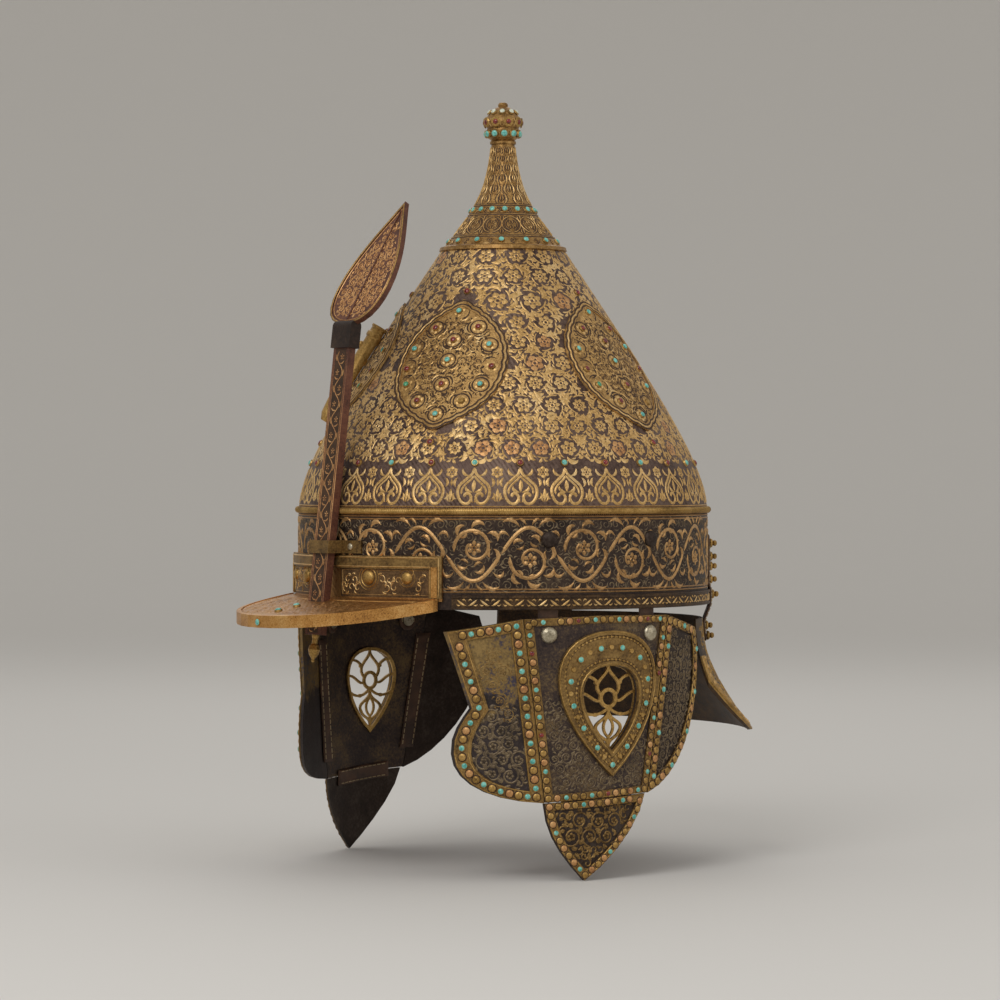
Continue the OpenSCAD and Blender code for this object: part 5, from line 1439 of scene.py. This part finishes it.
cheek = {"borderLift": 0.8, "earY": -13.5, "frameLift": 1.5, "lipLift": 2.1, "rivets": (-24.6, 6.9),
         "rivetZ": -13.5, "rivetR": 5.4, "beadGap": 4.95, "frame": (31.0, -11.5, -91.0),
         "window": (18.0, -30.5, -77.3), "middle": (24.6, -20.6, -84.6)}
plates = {
    "centre": {"outline": [(-50.6, -104.2), (11.0, -100.7), (27.4, -4.0), (-20.0, -3.4), (-60.7, -5.0)],
               "border": 4.0, "beads": "disc rose turquoise disc disc turquoise disc ruby rose",
               "knots": (7.4, 2.8, 31, 0.1), "knot": (4.1, 0.24, 1.35), "knotsKept": (-58, 12), "apart": 3.2,
               "curls": (4.1, 1.4, 32, 0.15), "curl": (2.6, 0.2, 1.4), "curlsKept": (-48, -2), "tone": greyGold},
    "front": {"outline": [(-61.3, -5.0), (-91.9, -12.0),
                          *cubic([(-82.6, -53.2), (-85.6, -59.2), (-89.9, -67.0), (-89.3, -78.0)], 5),
                          *cubic([(-89.3, -78.0), (-88.7, -93.5), (-77.3, -103.3), (-51.2, -104.5)], 8)[1:]],
              "border": 6.0, "beads": "turquoise disc turquoise rose disc",
              "knots": (9.4, 3.5, 33, 0.1), "knot": (5.7, 0.34, 1.5), "knotsKept": (-57, 99), "apart": 4.1,
              "curls": (4.4, 1.5, 34, 0.15), "curl": (3.3, 0.32, 1.6), "curlsKept": (-54, 99), "tone": greyGold,
              "worn": (4.4, 0.1, 1.3)},
    "rear": {"outline": [(28.0, -4.0), (11.6, -101.0),
                         *cubic([(11.6, -101.0), (37.3, -93.0), (57.0, -64.5), (59.5, -37.4)], 9)[1:],
                         (60.0, -23.4), (57.0, -11.7)],
             "border": 5.0, "beads": "disc rose disc turquoise disc",
             "knots": (7.0, 2.6, 35, 0.08), "knot": (4.0, 0.3, 1.4), "knotsKept": (0, 0), "apart": 3.1,
             "curls": (3.9, 1.2, 36, 0.15), "curl": (2.5, 0.26, 1.5), "curlsKept": (0, 0), "tone": greyGold},
    "lower": {"outline": [*cubic([(-50.6, -104.8), (-49.6, -121.8), (-41.6, -133.8), (-29.6, -146.8)], 6),
                          *cubic([(-29.6, -146.8), (-14.6, -136.8), (6.3, -116.3), (9.3, -101.3)], 6)[1:]],
              "border": 4.0, "beads": "rose disc rose turquoise disc",
              "knots": (10.2, 3.8, 37, 0.05), "knot": (6.1, 0.4, 1.45), "knotsKept": (0, 0), "apart": 4.5,
              "curls": (4.2, 1.4, 38, 0.15), "curl": (3.2, 0.34, 1.6), "curlsKept": (0, 0), "tone": darkGilt}}
cheekArc = drum(form["plateR"], 0.0)


def toArc(outline, step=4.0):
    # a plan outline (Y, Z) rolled out along the cylinder
    p, r = fineLine(outline, step), form["plateR"]
    return np.stack([r * np.arcsin(np.clip(p[:, 0] / r, -1, 1)), p[:, 1]], 1)


def pear(w, top, tip):
    half = cubic([[0, tip], [1.3 * w, top + 0.55 * (tip - top)], [1.32 * w, top], [0, top]], 15)
    return mirroredOutline(half) + [cheek["earY"], 0]


def arcLine(outline, depth, width, lift, base):
    return placed(stem(toArc(insetLine(outline, depth)), width, lift, True), cheekArc, base)


def borderBeads(name, plate, free, body, mirrored):
    size, cycle = 1.0 if plate["border"] > 4 else 0.86, plate["beads"].split()
    line, kept = toArc(insetLine(plate["outline"], plate["border"] / 2), 2.0), []
    for i, s in enumerate(walk(line, cheek["beadGap"], even=True)):
        if free(s) and all(np.hypot(*(s - q)) > 3.9 * size for _, q in kept):
            kept.append((cycle[i % len(cycle)], s))
    for kind in sorted(set(cycle)):
        where = onSurface(cheekArc, [s for k, s in kept if k == kind], cheek["borderLift"] + 0.02)
        if where and kind in ("disc", "rose"):
            # a low boss: a dark ring below and a domed head
            tone = giltCopper if kind == "disc" else roseGold
            studs(f"{name}_{kind}_rings", where, "disc", 2.65 * size, 0.28, umberLine, body, sides=12,
                  mirrored=mirrored)
            studs(f"{name}_{kind}_bosses", raised(where, 0.2), "stone", 2.2 * size, 0.7 * size, tone, body,
                  mirrored=mirrored)
        elif where:
            stone = turquoise if kind == "turquoise" else ruby
            setStones(f"{name}_{kind}", where, stone, 0.95 * size, body, mirrored)


def drawCheek(side):
    mirrored, pearFrame = side == "right", toArc(pear(*cheek["frame"]))
    rivets = [(math.radians(a) * form["plateR"], cheek["rivetZ"], cheek["rivetR"]) for a in cheek["rivets"]]

    def free(s):
        clear = all(math.hypot(s[0] - x, s[1] - y) > r + 1.8 for x, y, r in rivets)
        return clear and depthInside([s[0]], [s[1]], pearFrame)[0] < -2.6

    def kept(spots, limit):
        return [s for s in spots if s[1] < limit[0] or s[0] > limit[1]]
    for part, plate in plates.items():
        centre, base, wide, outline = part == "centre", cheek["borderLift"], plate["border"], plate["outline"]
        body = f"cheek_{side}" if centre else f"cheek_{part}_{side}"
        edges = [arcLine(outline, d, 0.7, 0.25, base) for d in ((0.5,) if centre else (0.5, wide - 0.5))]
        makePiece(f"cheek_{part}_edges_{side}", joined(edges), giltCopper, body, mirrored=mirrored)
        borderBeads(f"cheek_{part}_{side}", plate, free if centre else lambda s: True, body, mirrored)
        inner, holes, out = toArc(insetLine(outline, wide + 0.2)), [], None
        if centre:
            holes, out = rivets, pearFrame
        pitch, margin, seed, jitter = plate["knots"]
        grid = gridSpots(inner, pitch, margin, seed, holes, out, jitter)
        knots = kept(grid, plate["knotsKept"])
        pitch, margin, seed, jitter = plate["curls"]
        fill = gridSpots(inner, pitch, margin, seed, holes + holesAt(knots, plate["apart"]), out, jitter)
        fine = [scatter(scrollKnot(*plate["knot"]), knots, cheekArc),
                scatter(smallCurl(*plate["curl"]), kept(fill, plate["curlsKept"]), cheekArc)]
        makePiece(f"cheek_{part}_scrolls_{side}", joined(fine), plate["tone"], body, mirrored=mirrored)
        if "worn" in plate:
            rest = [s for s in grid if s not in knots]
            worn = scatter(scrollKnot(*plate["worn"]), rest, cheekArc)
            makePiece(f"cheek_{part}_worn_{side}", worn, darkGilt, body, mirrored=mirrored)


def drawEarFrame(side):
    mirrored, body, lift, lip = side == "right", f"cheek_{side}", cheek["frameLift"], cheek["lipLift"]
    outer, window = pear(*cheek["frame"]), pear(*cheek["window"])
    lips = [arcLine(outer, 0.7, 0.8, 0.3, lip), arcLine(window, -0.8, 0.8, 0.3, lip)]
    makePiece(f"ear_frame_edges_{side}", joined(lips), giltCopper, body, mirrored=mirrored)
    spots = walk(toArc(pear(*cheek["middle"]), 2.0), 6.6, even=True)
    setStones(f"ear_frame_turquoise_{side}", onSurface(cheekArc, spots[0::2], lift + 0.02), turquoise, 0.95, body,
              mirrored)
    studs(f"ear_frame_discs_{side}", onSurface(cheekArc, spots[1::2], lift), "disc", 1.5, 0.5, giltCopper, body,
          mirrored=mirrored)
    # two brown lines along each lip with dots between them, and curls round the stones
    dark = [arcLine(line, s * d, w, 0.12, lift)
            for line, s in ((outer, 1), (window, -1)) for d, w in ((2.7, 0.7), (3.9, 0.45))]
    holes = [(x, y, 1.8 if i % 2 else 2.5) for i, (x, y) in enumerate(spots)]
    curls = gridSpots(toArc(insetLine(outer, 4.2)), 3.4, 0.9, 41, holes, toArc(insetLine(window, -4.2)), 0.2)
    dark.append(scatter(smallCurl(2.7, 0.12, 1.5), curls, cheekArc))
    makePiece(f"ear_frame_lines_{side}", joined(dark), umberLine, body, mirrored=mirrored)
    dots = [s for line, depth in ((outer, 3.3), (window, -3.3))
            for s in walk(toArc(insetLine(line, depth), 2.0), 2.6, even=True)]
    studs(f"ear_frame_dots_{side}", onSurface(cheekArc, dots, lift), "disc", 0.75, 0.4, giltCopper, body, sides=8,
          mirrored=mirrored)


for side in sides:
    drawCheek(side)
    drawEarFrame(side)
print("cheek pieces are dressed")

# neck guard, by angle and run on its flared surface

guard = {"halfW": 104.0, "edgeY": 65.5, "low": -72.0, "high": -8.0, "corner": 18.0, "border": 6.0,
         "borderLift": 1.2, "edgeFrom": -30.0, "meanR": 125.0, "straps": (55.0, 125.0), "strapHalf": 4.6,
         "strapLow": -27.0, "seed": 51,
         "curve": [[113.5, -8.0], [113.5, -34.0], [126.0, -48.0], [141.0, -72.0]]}
guardPlace, guardRadius, guardRun = turnedSurface(cubic(guard["curve"], 80)[::-1])


def guardDepth(turn, y):
    # how far a spot on the guard is inside its outline
    p = guardPlace(np.array([turn]), np.array([y]), np.array([0.0]))[0]
    r, side, low, front = guard["corner"], guard["halfW"] - abs(p[0]), p[2] - guard["low"], p[1] - guard["edgeY"]
    return min(r - math.hypot(r - side, r - low) if side < r and low < r else min(side, low), front)


def guardEdge(depth):
    # the line at an even depth inside the outline, flattened, from one top end to the other
    half, middle = [], math.pi / 2
    for z in np.linspace(guard["edgeFrom"], guard["low"] + 0.02, 50):
        y, lo, hi = guardRun(z), 0.0, middle
        if guardDepth(middle, y) < depth:
            continue
        for _ in range(30):
            m = (lo + hi) / 2
            lo, hi = (m, hi) if guardDepth(middle - m, y) >= depth else (lo, m)
        half.append((lo, y))
    half += [(a, guardRun(guard["low"] + depth)) for a in np.linspace(half[-1][0], 0, 12)]
    line = [(middle - a, y) for a, y in half] + [(middle + a, y) for a, y in half[-2::-1]]
    return np.array(line) * [guard["meanR"], 1]


def flatGuard(x, y, h):
    return guardPlace(x / guard["meanR"], y, h)


def guardSpots(pitch, margin, rng, holes=()):
    # staggered rows inside the border, clear of the straps and of the holes
    spots, y, row = [], guardRun(-66.0), 0
    while y < guardRun(-9.0):
        r = float(guardRadius(y))
        count = int(2 * math.pi * r / pitch)
        z = guardPlace(np.array([0.0]), np.array([y]), np.zeros(1))[0][2]
        for turn in around(count, 0.5 * (row % 2)):
            near = min(abs(math.degrees(turn) - s) for s in guard["straps"])
            if math.sin(turn) < 0 or (near < guard["strapHalf"] and z > guard["strapLow"]):
                continue
            inside = guardDepth(turn, y) > guard["border"] + margin and y < guardRun(guard["high"]) - margin + 1
            if inside and all(math.hypot((turn - a) * r, y - b) > 8.4 for a, b, *_ in holes):
                spots.append((turn, y, 60 * rng.randrange(6) + rng.uniform(-10, 10), rng.uniform(0.9, 1.05),
                              rng.randrange(2)))
        y, row = y + 0.866 * pitch, row + 1
    return spots


def dressGuard():
    lift = guard["borderLift"]
    lines = [placed(stem(fineLine(guardEdge(d), 3.0, False), w, 0.3), flatGuard, lift)
             for d, w in ((0.7, 0.9), (2.2, 0.6), (5.3, 0.9))]
    makePiece("neck_guard_edges", joined(lines), giltCopper, "neck_guard")
    discs = onSurface(flatGuard, walk(guardEdge(3.8), 5.4, False), lift)
    studs("neck_guard_discs", discs, "disc", 1.2, 0.6, goldLeaf, "neck_guard")
    rng = random.Random(guard["seed"])
    knots = guardSpots(13.0, 6.4, rng)
    curls = guardSpots(5.2, 2.6, rng, knots)
    gold = [scatter(motif, spots, guardPlace, guardRadius)
            for motif, spots in ((scrollKnot(7.2, 0.3, 1.15), knots), (smallCurl(3.0, 0.22, 1.3), curls))]
    makePiece("neck_guard_scrolls", joined(gold), giltCopper, "neck_guard")


dressGuard()
print("neck guard is dressed")

# leathers: straps of the cheek pieces, strips behind their seams, straps of the neck guard

strap = {"inner": 112.65, "outer": 114.15, "low": -19.5, "high": 44.0, "width": 11.0, "bend": (0.6, -3.2),
         "bendX": 113.4, "bendY": -17.5}
neckStrap = {"width": 12.0, "thick": 1.5, "bend": (-2.5, -9.5), "bendY": 117.0, "meanR": 117.0,
             "line": [[116.35, 39.0], [116.35, 10.5], [117.35, 8.5], [117.35, -0.6]]}
# each seam: its ends (Y, Z), the share of it that is covered, steps along it, and which way the plate lies
seam = {"radius": 113.1, "width": 9.0, "thick": 1.2, "bendHalf": 0.9,
        "front": ((-61.0, -5.0), (-50.9, -104.5), 0.18, 0.9, 40, -1),
        "rear": ((27.7, -4.0), (11.3, -101.0), 0.18, 0.88, 40, 1),
        "lower": ((-41.6, -104.8), (0.3, -101.3), 0.0, 1.0, 24, -1)}
thread = {"radius": 0.32, "gap": 3.4, "length": 2.4, "sunk": -0.02}


def gridSlab(place, nu, nv, h0, h1):
    # a closed pad over u and v from 0 to 1, between two heights, with eased edges
    u, v = (m.ravel() for m in np.meshgrid(np.linspace(0, 1, nu + 1), np.linspace(0, 1, nv + 1)))
    edge = (u < 1e-9) | (u > 1 - 1e-9) | (v < 1e-9) | (v > 1 - 1e-9)
    ease = np.where(edge, 0.3 * (h1 - h0), 0)
    n, w, faces = len(u), nu + 1, []
    for a in (j * w + i for j in range(nv) for i in range(nu)):
        faces += [(a, a + 1, a + w + 1, a + w), (n + a + w, n + a + w + 1, n + a + 1, n + a)]
    rim = ([(i, i + 1) for i in range(nu)] + [(j * w + nu, (j + 1) * w + nu) for j in range(nv)]
           + [(nv * w + i + 1, nv * w + i) for i in range(nu)] + [((j + 1) * w, j * w) for j in range(nv)])
    faces += [(b, a, n + a, n + b) for a, b in rim]
    return np.vstack([place(u, v, h1 - ease), place(u, v, h0 + ease)]), faces


def stitchRow(points, gap):
    # stitches along a line in space, one every gap
    p, out = np.array(points), []
    run = runOf(p)
    for s in np.arange(gap / 2, run[-1] - gap * 0.8, gap):
        a, b = (np.array([np.interp(at, run, p[:, k]) for k in range(3)]) for at in (s, s + 0.7 * gap))
        out.append((a, (b - a) / np.linalg.norm(b - a)))
    return out


def sewn(place, edges, v0, v1, count, h=thread["sunk"], gap=thread["gap"]):
    # a row of stitches along each edge of a strip
    vs = np.linspace(v0, v1, count)
    return [s for u in edges for s in stitchRow(place(np.full(count, u), vs, np.full(count, h)), gap)]


def rounded(v, length, width):
    # share of the full width along a strap with round ends
    reach = np.minimum(v, 1 - v) * length
    return np.sqrt(np.clip(1 - np.clip(1 - reach / (width / 2), 0, 1) ** 2, 0.12, 1))


def sewLeather(name, solid, part, threads, bodies, start, end, mirrored=False, length=thread["length"]):
    # the leather and its stitches, both bending between two bodies
    piece = makePiece(name[0], part, strapLeather, None, "leather", mirrored)
    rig.replaces(piece, solid)
    stitches = studs(name[1], threads, "stitch", thread["radius"], length, linenThread, None, "leather", 6,
                     mirrored)
    for each in (piece, stitches):
        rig.blend(each, *bodies, start, end)


def makeCheekStraps(side):
    length, parts, threads = strap["high"] - strap["low"], [], []
    for bearing in cheek["rivets"]:
        def place(u, v, h, a=math.radians(bearing)):
            t = a + (u - 0.5) * strap["width"] * rounded(v, length, strap["width"]) / strap["inner"]
            r = strap["inner"] + h
            return np.stack([r * np.cos(t), r * np.sin(t), strap["low"] + length * v], axis=-1)
        parts.append(gridSlab(place, 8, 64, 0.0, strap["outer"] - strap["inner"]))
        for u in (0.14, 0.86):
            threads += sewn(place, [u], 0.05, 0.3, 40) + sewn(place, [u], 0.33, 0.95, 40)
    mirrored = side == "right"
    x, y = strap["bendX"] / 1000 * (-1 if mirrored else 1), strap["bendY"] / 1000
    start, end = ((x, y, z / 1000) for z in strap["bend"])
    sewLeather((f"cheek_strap_leather_{side}", f"cheek_strap_stitches_{side}"), f"cheek_straps_{side}",
               joined(parts), threads, ("root", f"cheek_{side}"), start, end, mirrored)


def makeSeamLeather(part, side):
    (y0, z0), (y1, z1), k0, k1, steps, toPlate = seam[part]
    across, mirrored = part != "lower", side == "right"

    def place(u, v, h):
        k, aside = k0 + (k1 - k0) * v, (u - 0.5) * seam["width"]
        y, z = y0 + k * (y1 - y0), z0 + k * (z1 - z0)
        y, z = (y + aside, z) if across else (y, z + aside)
        r = seam["radius"] + h
        y = y * r / form["plateR"]
        return np.stack([np.sqrt(r * r - y * y), y, z + 0 * y], axis=-1)
    strip = gridSlab(place, 18, steps, 0.0, seam["thick"])
    ends = np.array([0.5, 0.1, 0.9])
    middle = place(ends, np.full(3, 0.5), np.full(3, seam["thick"] / 2)) / 1000
    way = (middle[2] - middle[1]) / np.linalg.norm(middle[2] - middle[1]) * seam["bendHalf"] / 1000 * toPlate
    start, end = (tuple((middle[0] + s * way) * [-1 if mirrored else 1, 1, 1]) for s in (-1, 1))
    sewLeather((f"seam_leather_{part}_{side}", f"seam_leather_{part}_stitches_{side}"), f"seam_leathers_{side}",
               strip if across else flipped(strip), sewn(place, (0.12, 0.88), 0.02, 0.98, 60),
               (f"cheek_{side}", f"cheek_{part}_{side}"), start, end, mirrored)


def makeNeckStraps():
    lower = cubic(guard["curve"], 60, 0.03, 0.19) + [0.1, 0]
    line = np.vstack([neckStrap["line"], lower])[::-1]
    run, width, thick = runOf(line), neckStrap["width"], neckStrap["thick"]
    length, parts, threads = run[-1], [], []
    for bearing in guard["straps"]:
        def place(u, v, h, a=math.radians(bearing)):
            r, z = (np.interp(v * length, run, line[:, k]) for k in (0, 1))
            t = a + (u - 0.5) * width * rounded(v, length, width) / neckStrap["meanR"]
            return np.stack([(r + h) * np.cos(t), (r + h) * np.sin(t), z], axis=-1)
        parts.append(gridSlab(place, 8, 60, 0.0, thick))
        threads += sewn(place, (0.13, 0.87), 0.06, 0.94, 60, thick + 0.02, 3.0)
    start, end = ((0, neckStrap["bendY"] / 1000, z / 1000) for z in neckStrap["bend"])
    sewLeather(("neck_strap_leather", "neck_strap_stitches"), "neck_straps", joined(parts), threads,
               ("root", "neck_guard"), start, end, length=2.1)


for side in sides:
    makeCheekStraps(side)
    for part in ("front", "rear", "lower"):
        makeSeamLeather(part, side)
makeNeckStraps()
print("leathers are stitched")

# quilted lining: one closed shell with sewn lozenges inside, pressed in behind the cheek straps

quilt = {"cellsRound": 30, "turnSteps": 300, "rows": 84, "foot": 3.0, "topFoot": 166.6, "lozenge": 1.15,
         "wall": -2.3, "stitchDepth": 1.9, "puff": 3.9, "leastThick": 1.2, "topZ": 169.2, "topIn": 163.4,
         "topFill": 1.6, "pocketHalf": 9.5, "pocketEase": 3.0, "pocketDepth": 2.3, "pocketTop": 52.0,
         "rollRadius": 2.4, "rollIn": 5.0, "threadGap": 4.4, "clothWide": 0.11, "clothHigh": 1.1}
quiltRows = np.linspace(skullRun(quilt["foot"]), skullRun(quilt["topFoot"]), quilt["rows"])
quiltRadii = skullRadius(quiltRows)
quiltCell = 2 * math.pi / quilt["cellsRound"]
quiltClimb = np.concatenate([[0], np.cumsum(np.diff(quiltRows) / (
    0.5 * (quiltRadii[1:] + quiltRadii[:-1]) * quiltCell * quilt["lozenge"]))])


def ringQuads(a, b, n):
    # the quads between two rings of n points that start at a and b
    return [(a + i, a + (i + 1) % n, b + (i + 1) % n, b + i) for i in range(n)]


def makeLining():
    n = quilt["turnSteps"]
    turn = np.linspace(0, 2 * math.pi, n, endpoint=False)
    pockets = [math.radians(a) for a in cheek["rivets"]] + [math.pi - math.radians(a) for a in cheek["rivets"]]

    def disc(radius, z):
        return np.stack([radius * np.cos(turn), radius * np.sin(turn), np.zeros(n) + z], 1)

    def wallAt(y):
        # the back is pressed in over the cheek straps
        away = np.min([np.abs((turn - p + math.pi) % (2 * math.pi) - math.pi) for p in pockets], axis=0) * bowlR
        press = np.clip((quilt["pocketHalf"] - away) / quilt["pocketEase"], 0, 1)
        press = press * press * (3 - 2 * press) * np.clip((skullRun(quilt["pocketTop"]) - y) / 4.0, 0, 1)
        return quilt["wall"] - quilt["pocketDepth"] * press

    def puff(climb):
        a, b = (np.abs(np.sin(math.pi * (turn / quiltCell + s * climb))) for s in (1, -1))
        return quilt["puff"] * (a * b) ** 0.6
    outer, inner = [], []
    for y, climb in zip(quiltRows, quiltClimb):
        back = wallAt(y)
        face = np.minimum(back - quilt["leastThick"], quilt["wall"] - quilt["stitchDepth"] - puff(climb))
        outer.append(skullPlace(turn, np.full(n, y), back))
        inner.append(skullPlace(turn, np.full(n, y), face))
    r, z = float(np.hypot(*outer[-1][:, :2].T).mean()), quilt["topZ"]
    for share in (0.86, 0.7, 0.54, 0.38, 0.22, 0.1):
        sag = quilt["topFill"] * math.sin(math.pi * share) + 0.5 * np.cos(turn * 12) * share
        inner.append(disc(r * 0.93 * share, quilt["topIn"] - sag))
    outer += [disc(r * s, z - 1.4 * s ** 4) for s in (0.97, 0.6, 0.25)]
    first, last = len(inner) * n, (len(inner) + len(outer) - 1) * n
    faces = [(q[1], q[0], q[3], q[2]) for a in range(0, first - n, n) for q in ringQuads(a, a + n, n)]
    faces += [q for a in range(first, last, n) for q in ringQuads(a, a + n, n)] + ringQuads(0, first, n)
    tip = last + n
    faces += [(tip, first - n + (i + 1) % n, first - n + i) for i in range(n)]
    faces += [(last + i, last + (i + 1) % n, tip + 1) for i in range(n)]
    verts = np.vstack(inner + outer + [[[0, 0, quilt["topIn"] - 0.2]], [[0, 0, z]]])
    lining = makePiece("quilted_lining", (verts, faces), quiltCotton, "root", "lining", smooth=True)
    facesOut(lining)
    x, y, z = np.array([v.co for v in lining.data.vertices])[[loop.vertex_index for loop in lining.data.loops]].T
    uv = np.stack([np.arctan2(y, x) * quilt["clothWide"], z * quilt["clothHigh"]], 1)
    lining.data.uv_layers.new(name="cloth").data.foreach_set("uv", uv.astype(np.float32).ravel())
    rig.replaces(lining, "lining", "lining_band")
    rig.padded(lining, fill=0.5)


def makeLiningStitches():
    threads, depth = [], quilt["wall"] - quilt["stitchDepth"] - 0.55
    for k in range(quilt["cellsRound"]):
        for way in (1, -1):
            line = skullPlace(quiltCell * (k - way * quiltClimb), quiltRows, np.full(len(quiltRows), depth))
            threads += stitchRow(line, quilt["threadGap"])
    studs("lining_stitches", threads, "stitch", 0.35, 3.1, linenThread, "root", "lining", 5)


def makeHem():
    # a rolled hem along the rim
    n, rings, roll = 240, 10, quilt["rollRadius"]
    turn = np.linspace(0, 2 * math.pi, n, endpoint=False)
    verts, faces = [], []
    for k, a in enumerate(around(rings)):
        r = bowlR - quilt["rollIn"] + roll * math.cos(a)
        z = quilt["foot"] + 0.6 + roll * math.sin(a) * 0.8
        verts.append(np.stack([r * np.cos(turn), r * np.sin(turn), np.full(n, z)], 1))
        faces += ringQuads(k * n, (k + 1) % rings * n, n)
    facesOut(makePiece("lining_hem", (np.vstack(verts), faces), strapLeather, "root", "lining", smooth=True))


makeLining()
makeLiningStitches()
makeHem()
print("lining is quilted")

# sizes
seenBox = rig.bounds()
with open("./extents.json", "w") as out:
    json.dump({"cad": [list(c) for c in cadBox], "visual": [list(c) for c in seenBox]}, out)
